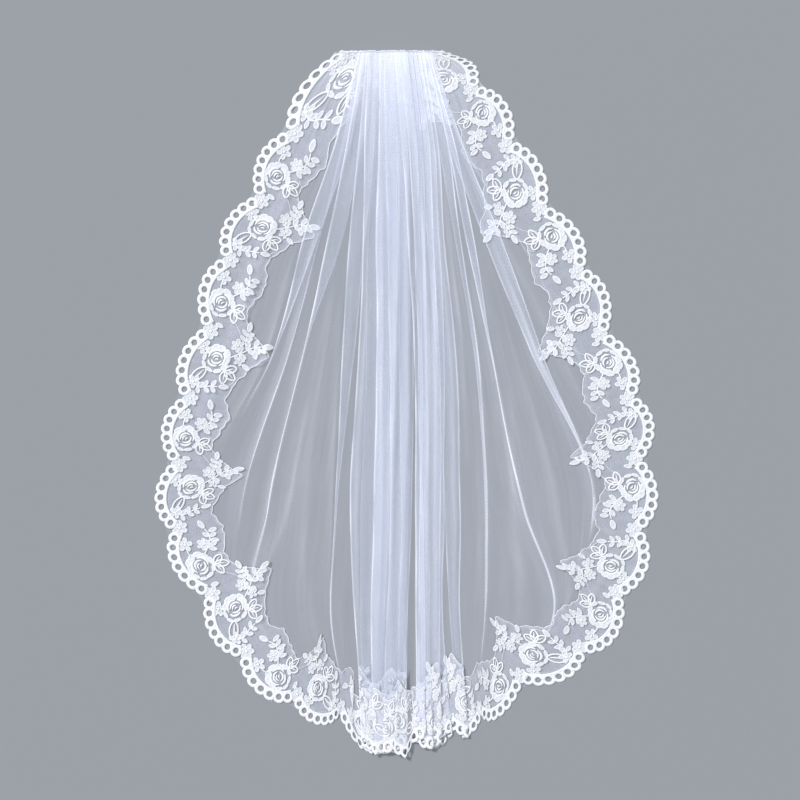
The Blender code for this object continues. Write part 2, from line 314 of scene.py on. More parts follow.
@dataclass(frozen=True)
class NetFinish:
    """Sheer net: cool white threads with open meshes, closer where the cloth is gathered or stands up."""

    name: str
    # light and shade are a painted light colour and a painted shade colour of the one net
    light: tuple[float, float, float]
    shade: tuple[float, float, float]
    mesh_scale: float            # meshes a metre
    roughness: float
    gather_scale: float          # small gathers a metre
    gather_bump: float

    MESH_SPREAD = 0.30                    # how uneven the meshes are
    WATERING = 104.0, 9.0                 # bands a metre and how much they wander
    CLOUDS = 26.0                         # faint light patches a metre
    COVER_SHARES = 0.40, 0.24, 0.24, 0.68     # of plain net, its threads, the watering and the gathers
    LIGHT_SHARES = 0.25, 0.45, -0.35      # in the painted light, of the patches and the gathers, and what is added to them
    MOST_COVER = 0.97
    RELIEF = 0.0016
    THREAD_RELIEF = 0.08                  # of the threads, as a share of the gathers'
    GLOSS = {"Sheen Weight": 0.25, "Sheen Roughness": 0.4, "Specular IOR Level": 0.3}

    def make(self) -> bpy.types.Material:
        """The net's material.

        It reads the cloth's "cover", its painted light "bright", its "cloth" map in metres and its "gathers"
        map, which keeps to the same thread from the heading to the hem. Its colour runs from a painted shade
        colour to a painted light colour.

        Returns:
            The material.
        """
        graph = Graph(self.name)
        cloth = graph.uv("cloth")
        cells = graph.node("ShaderNodeTexVoronoi",
                           {"voronoi_dimensions": "2D", "feature": "DISTANCE_TO_EDGE"},
                           {"Vector": cloth, "Scale": self.mesh_scale, "Randomness": self.MESH_SPREAD})
        holes = graph.math("SMOOTH_MIN", Value(graph, cells.outputs["Distance"]) * 4.0, 1.0, 0.2)
        threads = 1.0 - holes
        watering = graph.wave(cloth, "Y", *self.WATERING)
        gathers = graph.noise(graph.uv("gathers"), self.gather_scale, 3.0)
        cloud = graph.noise(cloth, self.CLOUDS)
        cover = graph.attribute("cover")
        plain, of_threads, of_watering, of_gathers = self.COVER_SHARES
        alpha = cover * (plain + of_threads * threads + of_watering * watering + of_gathers * gathers)
        # Painted light: the bright edges, ridges and heading, with the patches and gathers, blend the colour
        # from the shade colour to the light colour
        of_cloud, of_gathers, base = self.LIGHT_SHARES
        painted_light_and_texture = graph.attribute("bright") + cloud * of_cloud + gathers * of_gathers + base
        painted_light_and_texture = graph.math("MAXIMUM", graph.math("MINIMUM", painted_light_and_texture, 1.0), 0.0)
        relief = threads * self.THREAD_RELIEF + gathers
        graph.set({"Base Color": graph.blend(painted_light_and_texture, self.shade, self.light),
                   "Roughness": self.roughness,
                   "Alpha": graph.math("MINIMUM", alpha, self.MOST_COVER),
                   "Normal": graph.bump(relief, self.gather_bump, self.RELIEF), **self.GLOSS})
        return graph.material


@dataclass(frozen=True)
class ThreadFinish:
    """Bright embroidery thread in close satin stitches."""

    name: str
    # light and shade are a painted light colour and a painted shade colour of the one thread
    light: tuple[float, float, float]
    shade: tuple[float, float, float]
    stitch_scale: float          # of the stitches along a stroke

    STITCH_WANDER = 1.2
    WEAR = 340.0                          # worn patches a metre
    LIGHT_SHARES = 0.80, 0.20, 0.10       # of the painted relief light, the wear and the stitches
    ROUGHNESS = 0.38, 0.2                 # where unworn, and what wear adds
    RELIEF = 0.0004
    GLOSS = {"Sheen Weight": 0.15, "Specular IOR Level": 0.4}

    def make(self) -> bpy.types.Material:
        """The thread's material.

        It reads the "stroke" map, along and across each stroke in metres, and "tone", a painted light that
        is 1 on cords and rims and falls to painted shade where patches meet the net and in the sunken
        middles of leaves and petals.

        Returns:
            The material.
        """
        graph = Graph(self.name)
        stroke = graph.uv("stroke")
        stitches = graph.wave(stroke, "X", self.stitch_scale, self.STITCH_WANDER)
        wear = graph.noise(stroke, self.WEAR)
        of_relief_light, of_wear, of_stitches = self.LIGHT_SHARES
        # Painted light and shade from the relief, with wear and stitches, blend the colour from the shade
        # colour to the light colour
        painted_light_and_texture = graph.attribute("tone") * of_relief_light + wear * of_wear + stitches * of_stitches
        smooth, worn = self.ROUGHNESS
        graph.set({"Base Color": graph.blend(graph.math("MINIMUM", painted_light_and_texture, 1.0), self.shade, self.light),
                   "Roughness": smooth + worn * wear,
                   "Normal": graph.bump(stitches + wear * 0.5, 0.5, self.RELIEF), **self.GLOSS})
        return graph.material


TULLE_FINISH = NetFinish("veil_tulle", light=(0.88, 0.905, 0.98), shade=(0.50, 0.545, 0.67),
                         mesh_scale=820.0, roughness=0.5, gather_scale=250.0, gather_bump=0.6)
GROUND_FINISH = NetFinish("edging_net", light=(0.82, 0.84, 0.93), shade=(0.52, 0.55, 0.66),
                          mesh_scale=640.0, roughness=0.55, gather_scale=90.0, gather_bump=0.3)
THREAD_FINISH = ThreadFinish("edging_thread", light=(0.92, 0.93, 0.96), shade=(0.52, 0.56, 0.66),
                             stitch_scale=300.0)
ROLL_FINISH = ThreadFinish("heading_roll", light=(0.88, 0.90, 0.97), shade=(0.70, 0.74, 0.85),
                           stitch_scale=220.0)


def add_mesh(name: str, points: Array, faces: Sequence[Sequence[int]], finish: bpy.types.Material,
             maps: dict[str, Array], numbers: dict[str, Array], shadow: bool = True) -> bpy.types.Object:
    """Adds a smooth-shaded mesh.

    Args:
        name: The piece's name.
        points: Its points, one a row.
        faces: Its faces, as point numbers.
        finish: Its material.
        maps: UV maps by name, with coordinates for each point.
        numbers: What its material reads by name, a number for each point.
        shadow: Whether it casts a shadow of its own.

    Returns:
        The object.
    """
    mesh = bpy.data.meshes.new(name)
    mesh.from_pydata(points.tolist(), [], faces)
    for title, coordinates in maps.items():
        layer = mesh.uv_layers.new(name=title)
        corners = np.zeros(len(mesh.loops), np.int32)
        mesh.loops.foreach_get("vertex_index", corners)
        layer.data.foreach_set("uv", coordinates[corners].astype(np.float32).ravel())
    mesh.materials.append(finish)
    mesh.shade_smooth()
    mesh.validate()
    for title, values in numbers.items():
        layer = mesh.attributes.new(title, "FLOAT", "POINT")
        layer.data.foreach_set("value", values.astype(np.float32).ravel())
    piece = bpy.data.objects.new(name, mesh)
    piece.visible_shadow = shadow
    bpy.context.scene.collection.objects.link(piece)
    return piece


def grid_faces(rows: int, columns: int) -> list[tuple[int, int, int, int]]:
    """Quads over a grid of points stored row by row, facing up where rows run down and columns right.

    Args:
        rows: How many rows.
        columns: How many points in a row.

    Returns:
        The quads.
    """
    corner = (np.arange(rows - 1)[:, None] * columns + np.arange(columns - 1)[None, :]).ravel()
    quads = np.stack((corner, corner + columns, corner + columns + 1, corner + 1), axis=1)
    return [tuple(quad) for quad in quads.tolist()]


def band_faces(low: int, high: int, count: int) -> list[tuple[int, int, int, int]]:
    """Quads from one closed ring of points to another, by the number of each one's first point."""
    after = [(k + 1) % count for k in range(count)]
    return [(low + k, low + after[k], high + after[k], high + k) for k in range(count)]


def lid_face(first: int, count: int) -> tuple[int, ...]:
    """A face over a closed ring of points."""
    return tuple(range(first, first + count))


def report(piece: bpy.types.Object) -> None:
    """Logs a piece's size and number of triangles.

    Args:
        piece: The piece.
    """
    mesh = piece.data
    triangles = sum(len(face.vertices) - 2 for face in mesh.polygons)
    LOG.info("%s: %d triangles, %s mm", piece.name, triangles,
             " x ".join(f"{size * 1000:.0f}" for size in piece.dimensions))


# ---- Tulle ----


@dataclass(frozen=True)
class Outline:
    """The line of notches on each side, from the heading down, in millimetres."""

    left: tuple[tuple[float, float], ...] = (
        (-87, 447), (-155, 347), (-195, 264), (-237, 185), (-261, 96), (-289, 7),
        (-302, -77), (-302, -164), (-259, -248), (-214, -326), (-146, -382), (-87, -400))
    right: tuple[tuple[float, float], ...] = (
        (47, 447), (91, 404), (136, 334), (179, 251), (227, 172), (256, 89), (292, 8),
        (301, -73), (301, -163), (275, -248), (228, -321), (147, -359), (95, -402))
    probe: float = 0.02               # half the step that gives the line's direction, in notches
    lace_reach: float = 0.85          # over which the lace's direction is averaged, in notches
    heading_turn: float = 1.2         # notches in which the lace turns from its way at the heading
    hem_turn: float = 1.5             # notches in which it turns to its way at the hem
    averaged: int = 9                 # directions in an average
    edge_points: int = 400            # along a side's edge

    def notches(self, side: Side) -> Array:
        """The notches of a side, in metres."""
        return np.array(self.left if side is Side.LEFT else self.right, float) * MM

    def point(self, side: Side, place: Array) -> Array:
        """Points on a smooth line through the notches, at places counted in notches.

        Args:
            side: The side of the veil.
            place: Places counted in notches from the heading.

        Returns:
            The points, in metres.
        """
        spots = self.notches(side)
        last = len(spots) - 1
        index = np.clip(place.astype(int), 0, last - 1)
        share = (place - index)[:, None]
        a, d = spots[np.maximum(index - 1, 0)], spots[np.minimum(index + 2, last)]
        b, c = spots[index], spots[index + 1]
        return 0.5 * (2 * b + (c - a) * share + (2 * a - 5 * b + 4 * c - d) * share ** 2
                      + (3 * b - a - 3 * c + d) * share ** 3)

    def inward(self, side: Side, place: Array, reach: float) -> Array:
        """Directions into the veil, averaged over this reach along the notches.

        Args:
            side: The side of the veil.
            place: Places counted in notches from the heading.
            reach: How far each way to average.

        Returns:
            The directions.
        """
        last = len(self.notches(side)) - 1
        total = np.zeros((len(place), 2))
        for step in np.linspace(-reach, reach, self.averaged):
            at = np.clip(place + step, self.probe, last - self.probe)
            way = self.point(side, at + self.probe) - self.point(side, at - self.probe)
            normal = np.stack((way[:, 1], -way[:, 0]), axis=1) * side.value
            total += normal / np.linalg.norm(normal, axis=1, keepdims=True)
        return total / np.linalg.norm(total, axis=1, keepdims=True)

    def lace_way(self, side: Side, place: Array) -> Array:
        """Directions across the lace: inward, along the heading at one end, nearly upright at the hem.

        Args:
            side: The side of the veil.
            place: Places counted in notches from the heading.

        Returns:
            The directions.
        """
        way = self.inward(side, place, self.lace_reach)
        last = len(self.notches(side)) - 1
        at_heading = smooth_step(1.0 - place / self.heading_turn)[:, None]
        at_hem = smooth_step((place - last) / self.hem_turn + 1.0)[:, None]
        way += (np.array((-side.value, 0.0)) - way) * at_heading
        way += (np.array((-HEM_LEAN * side.value, 1.0)) - way) * at_hem
        return way / np.linalg.norm(way, axis=1, keepdims=True)

    def edge_x(self, side: Side, height: Array) -> Array:
        """Where the tulle's outer edge is at these y.

        Args:
            side: The side of the veil.
            height: The y to read it at.

        Returns:
            Its x.
        """
        place = np.linspace(0, len(self.notches(side)) - 1, self.edge_points)
        edge = self.point(side, place) - self.inward(side, place, self.probe) * MARGIN
        order = np.argsort(edge[:, 1])
        return np.interp(height, edge[order, 1], edge[order, 0])


@dataclass(frozen=True)
class Pleat:
    """A pleat, with x of its left and right turns at the stations, in millimetres.

    Going right, the cloth reaches the right turn, runs back to the left turn and goes on to the right. Where
    the left turn isn't left of the right one, the pleat has opened out.
    """

    name: str
    left: tuple[float, ...]
    right: tuple[float, ...]
    shine: tuple[float, float] = (1.0, 1.0)    # how strong the lines along its left and right edges are: denser cloth with a painted highlight
    seen: tuple[float, float] = (-1.0, 2.0)    # from where to where its edges shine


@dataclass(frozen=True)
class Ridge:
    """A long soft fold: x at the stations, its half width and rise, in millimetres, and where it lies."""

    x: tuple[float, ...]
    half_width: float
    rise: float
    begins: float
    ends: float


# Share of the way from heading to hem at the stations of the tables
STATIONS = (0.0, 0.134, 0.270, 0.441, 0.681, 0.840, 1.0)

OPEN_PLEATS = 4          # on each side, that have opened out at the hem

# Each group runs from left to right. The left one climbs as it goes, the right one comes down.
LEFT_PLEATS = (
    Pleat("outer", (-62, -93, -131, -170, -258, -222, -80), (-52, -72, -112, -167, -262, -226, -82),
          (2.8, 1.4), (-1.0, 0.52)),
    Pleat("long", (-60, -84, -112, -150, -213, -210, -78), (-50, -78, -110, -149, -212, -212, -79),
          (1.5, 1.3), (0.32, 0.68)),
    Pleat("second", (-58, -77, -101, -133, -179, -194, -76), (-46, -58, -81, -130, -178, -197, -78),
          (2.8, 0.8), (-1.0, 0.80)),
    Pleat("inner", (-52, -62, -75, -83, -93, -98, -71), (-40, -42, -54, -67, -90, -96, -74),
          (1.7, 1.3), (-1.0, 0.90)),
    Pleat("rim", (-50, -55, -57, -63, -74, -66, -59), (-20, -14, -12, -14, -24, -31, -38),
          (2.4, 0.6)),
    Pleat("rim_under", (-45, -48, -51, -53, -60, -60, -52), (-15, -7, -2, -4, -8, -12, -20),
          (0.3, 0.25)),
    Pleat("step", (-36, -37, -40, -40, -44, -47, -43), (-10, 0, 4, 4, 1, -2.5, -2), (2.8, 0.8)),
    Pleat("tuck", (-31, -29, -26, -24, -22, -28, -31), (-6, 4, 8, 7, 3, -1.5, -1), (1.4, 0.5)),
    Pleat("slope", (-23, -15, -12, -11, -9, -12, -17), (-2, 9, 11, 9, 5, -0.5, 0), (0.9, 1.6)),
)
RIGHT_PLEATS = (
    Pleat("slope", (-18, -8, 0, 8, 10, 10.5, 10), (1, 13, 17, 20, 21, 23, 24), (2.6, 0.5)),
    Pleat("tuck", (-12, 1, 8, 13.5, 14.5, 14, 14), (7, 20, 23, 26, 28, 29, 33), (2.6, 0.8)),
    Pleat("step", (-9, 4, 10, 15, 16, 17, 19), (12, 29, 34, 42, 43, 42, 44), (1.2, 2.0)),
    Pleat("rim_under", (-6, 9, 16, 22, 24, 24, 27), (17, 35, 41, 48, 47, 46, 57), (0.4, 1.3)),
    Pleat("rim", (0, 14, 24, 36, 47, 54, 68), (22, 39, 48, 62, 68, 68, 78), (1.2, 2.6)),
    Pleat("inner", (20, 38, 59, 84, 98, 97, 85), (27, 52, 67, 90, 102, 99.5, 84), (0.6, 2.6),
          (-1.0, 0.89)),
    Pleat("second", (23, 50, 73, 104, 147, 185, 90), (28, 60, 84, 107, 150, 187, 88), (2.2, 2.2),
          (-1.0, 0.87)),
    Pleat("outer", (25, 53, 94, 154, 239, 200, 94), (31, 70, 117, 170, 237, 197, 92), (2.4, 2.4),
          (-1.0, 0.72)),
    Pleat("edge", (28, 66, 136, 214, 282, 215, 96), (33, 71, 139, 211, 279, 212, 95), (1.7, 1.5),
          (0.22, 0.44)),
)

RIDGES = (
    Ridge((-60, -86, -114, -151, -214, -214, -78), 6.0, 3.0, 0.24, 0.74),
    Ridge((-62, -95, -136, -178, -262, -220, -80), 7.0, 3.2, 0.30, 0.60),
    Ridge((-56, -74, -96, -133, -180, -196, -76), 7.0, 3.2, 0.34, 0.86),
    Ridge((-70, -118, -176, -222, -285, -200, -82), 14.0, 2.4, 0.10, 0.62),
    Ridge((-50, -60, -86, -106, -132, -125, -75), 11.0, 2.0, 0.30, 0.95),
    Ridge((-52, -62, -80, -88, -97, -98, -73), 5.0, 2.4, 0.36, 0.97),
    Ridge((-54, -66, -92, -118, -154, -190, -80), 9.0, 2.4, 0.50, 0.94),
    Ridge((26, 42, 54, 70, 80, 84, 80), 5.0, 2.6, 0.18, 0.62),
    Ridge((27, 46, 64, 89, 101, 99, 88), 6.0, 2.6, 0.30, 0.96),
    Ridge((28, 55, 78, 105, 149, 186, 90), 7.0, 3.0, 0.28, 0.92),
    Ridge((30, 58, 105, 162, 239, 200, 93), 7.0, 3.4, 0.26, 0.74),
    Ridge((42, 66, 118, 190, 264, 210, 95), 10.0, 2.0, 0.16, 0.60),
    Ridge((35, 50, 84, 134, 190, 198, 92), 13.0, 2.3, 0.40, 0.95),
    Ridge((35, 50, 78, 122, 135, 140, 92), 15.0, 1.8, 0.50, 0.92),
    Ridge((-12, -10, -12, -16, -20, -22, -20), 4.5, 1.6, 0.10, 0.92),
    Ridge((4, 12, 20, 27, 24, 24, 27), 4.5, 1.6, 0.08, 0.94),
    Ridge((-26, -34, -33, -33, -34, -38, -36), 5.0, 1.8, 0.12, 0.95),
    Ridge((12, 26, 34, 36, 36, 36, 42), 4.5, 1.6, 0.10, 0.95),
    Ridge((-44, -48, -51, -55, -66, -62, -55), 5.5, 1.8, 0.14, 0.97),
    Ridge((-6, 0, 2, 2, -4, -6, -6), 4.0, 1.4, 0.12, 0.90),
    Ridge((18, 34, 42, 55, 60, 61, 70), 5.5, 1.6, 0.14, 0.95),
)

# Where small gathers lie closer or further apart: x of a line at the stations, and the closeness right of it
BUNCHES = (
    ((-50, -55, -57, -60, -73, -66, -59), 0.95),
    ((-36, -37, -40, -41, -44, -47, -43), 1.05),
    ((-31, -29, -27, -30, -32, -34, -33), 1.30),
    ((-18, -17, -16, -18, -20, -21, -22), 0.95),
    ((-12, -10, -9, -10, -12, -13, -13), 1.20),
    ((-5, -1, 0, 0.5, 0.5, -1.5, -1), 0.36),
    ((2, 8, 11.5, 11, 9.5, 8, 8), 1.35),
    ((9, 17, 22, 24, 24, 23, 25), 0.85),
    ((12, 22, 28, 32, 33, 31, 34), 1.25),
    ((16, 29, 34, 42.5, 43, 42, 46), 0.95),
    ((26, 39, 48, 62, 68, 68, 77), 1.0),
)

# The tulle's hem: x and y, in millimetres
HEM = ((-90, -405), (-74, -414), (-62, -429), (-47, -437), (-20, -435), (-2, -441), (7, -425),
       (22, -430), (42, -428), (60, -417), (76, -417), (99, -404))


@dataclass
class Tulle:
    """The gathered tulle panel, as one sheet through all its pleats."""

    outline: Outline
    pleats: tuple[Pleat, ...] = LEFT_PLEATS + RIGHT_PLEATS
    rows: int = 100
    column_width: float = 2.7 * MM
    fewest_columns: int = 9           # in a stretch between turns
    turn_bunching: float = 0.6        # how much closer together the columns are at the turns
    pitch: float = 0.72 * MM          # from one layer to the next
    heading_pitch: float = 0.42 * MM
    lowest: float = 0.5 * MM
    turn_reach: float = 2.4 * MM      # of a turn's rounding
    soft_reach: float = 9.0 * MM      # over which a layer comes down beside what it lies on
    closing: float = 8.0 * MM         # a pleat this wide is a full one
    wander: float = 0.8 * MM          # of a pleat's edge about its line
    wander_waves: float = 3.2         # of a pleat's edge from heading to hem
    settle: float = 0.2               # share of the length in which the heading's closeness eases
    hem_settle: float = 0.15          # share of the length in which the wander dies out at the hem
    heading_fold: float = 0.011       # from one small fold at the heading to the next
    heading_rise: float = 0.7         # of those folds, in millimetres
    heading_reach: float = 0.13       # share of the length in which they fade
    fine_gather: float = 0.0055       # from one fine gather to the next
    broad_gather: float = 0.034       # the same for broad ones
    fine_strength: Fade = Fade(0.10, 0.45, 0.30)
    broad_strength: float = 0.42
    broad_settle: float = 0.3         # share of the length in which the broad gathers come up
    thinnest: Fade = Fade(-0.75, 0.45, 0.15)      # most that the gathers take off
    heading_gather: Fade = Fade(1.0, 3.0, 0.10)   # how many layers the gathered cloth looks like
    gather_ease: float = 2.4 * MM     # over which one closeness goes over into the next
    gather_settle: float = 0.22       # share of the length in which the closenesses come up
    ridge_narrow: float = 0.55        # breadth of a ridge at the heading, as a share of its own
    ridge_spread: float = 0.75        # what it gains on the way to the hem
    ridge_swell: float = 0.8          # below 1 keeps a ridge high for longer
    edge_width: float = 1.3 * MM      # of the line along a pleat's edge: denser cloth with a painted highlight
    edge_fade: float = 0.07           # share of the length in which such a line fades
    edge_waves: float = 7.0           # of its strength from heading to hem
    edge_layers: float = 2.9          # how many layers it looks like
    opened: float = 0.55              # how strong it still is where the pleat has opened out
    plain_light: float = 0.20         # how bright plain cloth is
    edge_light: float = 0.46          # painted highlight that such a line adds to that
    ridge_light: float = 0.28         # painted light that the cloth on and beside a ridge adds
    # painted light that is strongest at the heading and fades towards the hem
    heading_light: Fade = Fade(0.0, 0.55, 0.09)
    thread_slope: float = 0.05        # of the gathers' map along the veil, so that they run far down
    steepest: float = 3.0             # most layers that a steep place looks like
    base_cover: float = 0.15          # of one layer
    flat: tuple[float, float] = (1.5, 0.9)

    # Cloth that shows on a ridge's crest and beside it, denser and with a painted glow, each for its rise
    # and with a breadth
    GLOW = ((0.30, 0.32), (0.22, 1.5))

    place: Array = field(init=False)
    turns: Array = field(init=False)
    stretch: Array = field(init=False)
    share: Array = field(init=False)
    run: Array = field(init=False)
    points: Array = field(init=False)
    normals: Array = field(init=False)
    cover: Array = field(init=False)
    bright: Array = field(init=False)

    def __post_init__(self) -> None:
        """Lays the sheet."""
        self.place = np.linspace(0.0, 1.0, self.rows)
        self.turns = self.turn_lines()
        self.spread_columns()
        self.lay()

    def turn_lines(self) -> Array:
        """x of the left edge, of every turn in cloth order and of the right edge, at each row.

        Returns:
            x, line by line.
        """
        edge_y = HEADING_Y + (CORNER_Y - HEADING_Y) * self.place
        lines = [self.outline.edge_x(Side.LEFT, edge_y)]
        loose = self.wander * smooth_step(self.place / self.settle)
        loose = loose * smooth_step((1.0 - self.place) / self.hem_settle)
        for number, pleat in enumerate(self.pleats):
            for turn, stops in enumerate((pleat.right, pleat.left), 2 * number):
                sway = loose * ripple(self.place * self.wander_waves, Seed.PLEAT_SWAY + turn)
                lines.append(through(STATIONS, stops, self.place) * MM + sway)
        lines.append(self.outline.edge_x(Side.RIGHT, edge_y))
        return np.array(lines)

    def spread_columns(self) -> None:
        """Shares the columns out over the stretches between turns, closer together at the turns."""
        widest = np.abs(np.diff(self.turns, axis=0)).max(axis=1)
        stretch, share = [], []
        for number, width in enumerate(widest):
            count = max(self.fewest_columns, int(round(width / self.column_width)))
            steps = np.arange(count + (number == len(widest) - 1)) / count
            bunched = 0.5 - 0.5 * np.cos(math.pi * steps)
            share.append(self.turn_bunching * bunched + (1.0 - self.turn_bunching) * steps)
            stretch.append(np.full(len(steps), number))
        self.stretch = np.concatenate(stretch)
        self.share = np.concatenate(share)

    def rank(self) -> Array:
        """The order in which the stretches lie on each other, from the lowest.

        Returns:
            The place of each stretch in that order.
        """
        count = len(self.turns) - 1
        left = 2 * len(LEFT_PLEATS)
        order = np.zeros(count, int)
        order[:left] = np.arange(left)
        order[left] = count - 1
        order[left + 1:] = left + np.arange(count - left - 1)[::-1]
        return order

    def openness(self) -> Array:
        """How far each pleat is folded at each row: 0 opened out, 1 full.

        Returns:
            The shares, pleat by pleat.
        """
        overlap = [self.turns[1 + 2 * number] - self.turns[2 + 2 * number]
                   for number in range(len(self.pleats))]
        return smooth_step(np.array(overlap) / self.closing)

    def ridge_share(self, ridge: Ridge, x: Array, place: Array, breadth: float) -> Array:
        """How near places are to a ridge's crest: 1 on it, less where it fades or further off.

        Args:
            ridge: The ridge.
            x: Places across.
            place: Their share of the way from heading to hem.
            breadth: The width of the fall, as a share of the ridge's own.

        Returns:
            The nearness.
        """
        centre = through(STATIONS, ridge.x, place) * MM
        swing = np.clip((place - ridge.begins) / (ridge.ends - ridge.begins), 0.0, 1.0)
        spread = ridge.half_width * breadth * MM * (self.ridge_narrow + self.ridge_spread * place)
        return np.sin(math.pi * swing) ** self.ridge_swell * np.exp(-((x - centre) / spread) ** 2)

    def relief(self, x: Array, place: Array) -> Array:
        """The height of the soft folds that all layers share, above the lowest layer's own.

        Args:
            x: Places across.
            place: Their share of the way from heading to hem.

        Returns:
            Heights.
        """
        height = np.zeros_like(x)
        for ridge in RIDGES:
            height += ridge.rise * MM * self.ridge_share(ridge, x, place, 1.0)
        return height

    def glow(self, x: Array, place: Array) -> Array:
        """How much more cloth there is on and beside the crests of the soft folds, which also sets their
        painted glow.

        Args:
            x: Places across.
            place: Their share of the way from heading to hem.

        Returns:
            Shares to add.
        """
        extra = np.zeros_like(x)
        for ridge in RIDGES:
            for amount, breadth in self.GLOW:
                extra += amount * ridge.rise * self.ridge_share(ridge, x, place, breadth)
        return extra

    def closeness(self, x: Array, place: Array) -> Array:
        """How close the small gathers are, from the table of bunches.

        Args:
            x: Places across.
            place: Their share of the way from heading to hem.

        Returns:
            The closeness, 1 where it is even.
        """
        close = np.ones_like(x)
        before = 1.0
        for line, value in BUNCHES:
            edge = through(STATIONS, line, place) * MM
            close += (value - before) * smooth_step((x - edge) / self.gather_ease + 0.5)
            before = value
        return 1.0 + (close - 1.0) * smooth_step(place / self.gather_settle)

    def raw_height(self, number: int, x: Array, row_pitch: Array, folded: Array) -> Array:
        """Heights on one stretch from the layers under it.

        Args:
            number: The stretch.
            x: Places across, row by row.
            row_pitch: The pitch at each row.
            folded: How far each pleat is folded at each row.

        Returns:
            Heights, row by row.
        """
        order = self.rank()
        height = np.zeros_like(x)
        for other in range(len(order)):
            if order[other] >= order[number]:
                continue
            first, last = sorted((other, number))
            between = folded[first // 2:(last - 1) // 2 + 1].max(axis=0)
            low = np.minimum(self.turns[other], self.turns[other + 1])[:, None]
            high = np.maximum(self.turns[other], self.turns[other + 1])[:, None]
            away = np.maximum(np.maximum(low - x, x - high), 0.0)
            height += smooth_step(1.0 - away / self.soft_reach) * between[:, None]
        return height * row_pitch[:, None]

    def lay(self) -> None:
        """Works out every point of the sheet, its normals and how closely it covers."""
        place = self.place[:, None]
        start, end = self.turns[self.stretch].T, self.turns[self.stretch + 1].T
        x = start + (end - start) * self.share
        eased = smooth_step(self.place / self.settle)
        row_pitch = self.heading_pitch + (self.pitch - self.heading_pitch) * eased
        folded = self.openness()
        count = len(self.turns) - 1
        z = np.zeros_like(x)
        ends = {}
        for number in range(count):
            mine = self.stretch == number
            z[:, mine] = self.raw_height(number, x[:, mine], row_pitch, folded)
            for side in (0, 1):
                at = self.turns[number + side][:, None]
                ends[number, side] = self.raw_height(number, at, row_pitch, folded)
        for turn in range(1, count):
            before, after = ends[turn - 1, 1], ends[turn, 0]
            meeting = (before + after) / 2
            for number, raw in ((turn - 1, before), (turn, after)):
                mine = self.stretch == number
                gone = np.abs(x[:, mine] - self.turns[turn][:, None]) / self.turn_reach
                bend = 1.0 - np.sqrt(1.0 - (1.0 - np.clip(gone, 0.0, 1.0)) ** 2)
                z[:, mine] += (meeting - raw) * bend
        hem = np.interp(x[-1] / MM, *zip(*HEM)) * MM
        y = HEADING_Y + (hem[None, :] - HEADING_Y) * place
        run = np.cumsum(np.abs(np.diff(x[self.rows // 2], prepend=x[self.rows // 2, 0])))
        small = self.heading_rise * ripple(run / self.heading_fold, Seed.HEADING_FOLDS)
        z += self.relief(x, np.broadcast_to(place, x.shape))
        z += (self.heading_rise + small[None, :]) * MM * np.exp(-place / self.heading_reach)
        z += self.lowest
        self.points = np.stack((x, y, z), axis=2)
        self.run = run
        self.find_normals()
        self.find_cover(folded)

    def find_normals(self) -> None:
        """The sheet's normals, up on the stretches that run right and down on those that run back."""
        across = np.gradient(self.points, axis=1)
        down = np.gradient(self.points, axis=0)
        normal = np.cross(down, across)
        length = np.linalg.norm(normal, axis=2, keepdims=True)
        self.normals = normal / np.maximum(length, 1e-12)

    def find_cover(self, folded: Array) -> None:
        """How closely the cloth covers, more where it stands up or is gathered, and its painted light along
        pleat edges, beside ridges and near the heading.

        Args:
            folded: How far each pleat is folded at each row.
        """
        x, z = self.points[..., 0], self.points[..., 2]
        step = np.abs(np.gradient(x, axis=1)) + 1e-6
        steep = np.sqrt(step ** 2 + np.gradient(z, axis=1) ** 2) / step
        steep = np.minimum(steep, self.steepest)
        place = np.broadcast_to(self.place[:, None], x.shape)
        fine = ripple(self.run / self.fine_gather, Seed.FINE_GATHERS)[None, :]
        fine = fine * self.fine_strength.at(place)
        broad = self.broad_strength * ripple(self.run / self.broad_gather, Seed.BROAD_GATHERS)[None, :]
        broad = broad * smooth_step(place / self.broad_settle)
        streaks = np.maximum(fine + broad, self.thinnest.at(place))
        edges = np.zeros_like(x)
        for number in range(len(self.pleats)):
            left_shine, right_shine = self.pleats[number].shine
            begins, ends = self.pleats[number].seen
            seen = (smooth_step((self.place - begins) / self.edge_fade + 0.5)
                    * smooth_step((ends - self.place) / self.edge_fade + 0.5))
            for turn, shine in ((1 + 2 * number, right_shine), (2 + 2 * number, left_shine)):
                for neighbour in (turn - 1, turn):
                    mine = self.stretch == neighbour
                    gone = (x[:, mine] - self.turns[turn][:, None]) / self.edge_width
                    uneven = 0.8 + 0.4 * ripple(self.place * self.edge_waves, Seed.SHINE + turn)
                    strength = np.maximum(folded[number], self.opened) * uneven * shine * seen
                    edges[:, mine] += np.exp(-gone ** 2) * strength[:, None]
        close, glow = self.closeness(x, place), self.glow(x, place)
        layers = steep * self.heading_gather.at(place) * close * (1.0 + streaks + glow)
        layers += self.edge_layers * edges
        self.cover = 1.0 - (1.0 - self.base_cover) ** np.maximum(layers, 0.2)
        # Painted light: highlights along the pleats' edges, a glow beside the ridges and light near the
        # heading
        self.bright = (self.plain_light + self.edge_light * edges + self.heading_light.at(place)
                       + self.ridge_light * glow)

    def hem_lengths(self) -> Array:
        """How far along the hem each column is."""
        steps = np.linalg.norm(np.diff(self.points[-1], axis=0), axis=1)
        return np.concatenate(([0.0], np.cumsum(steps)))

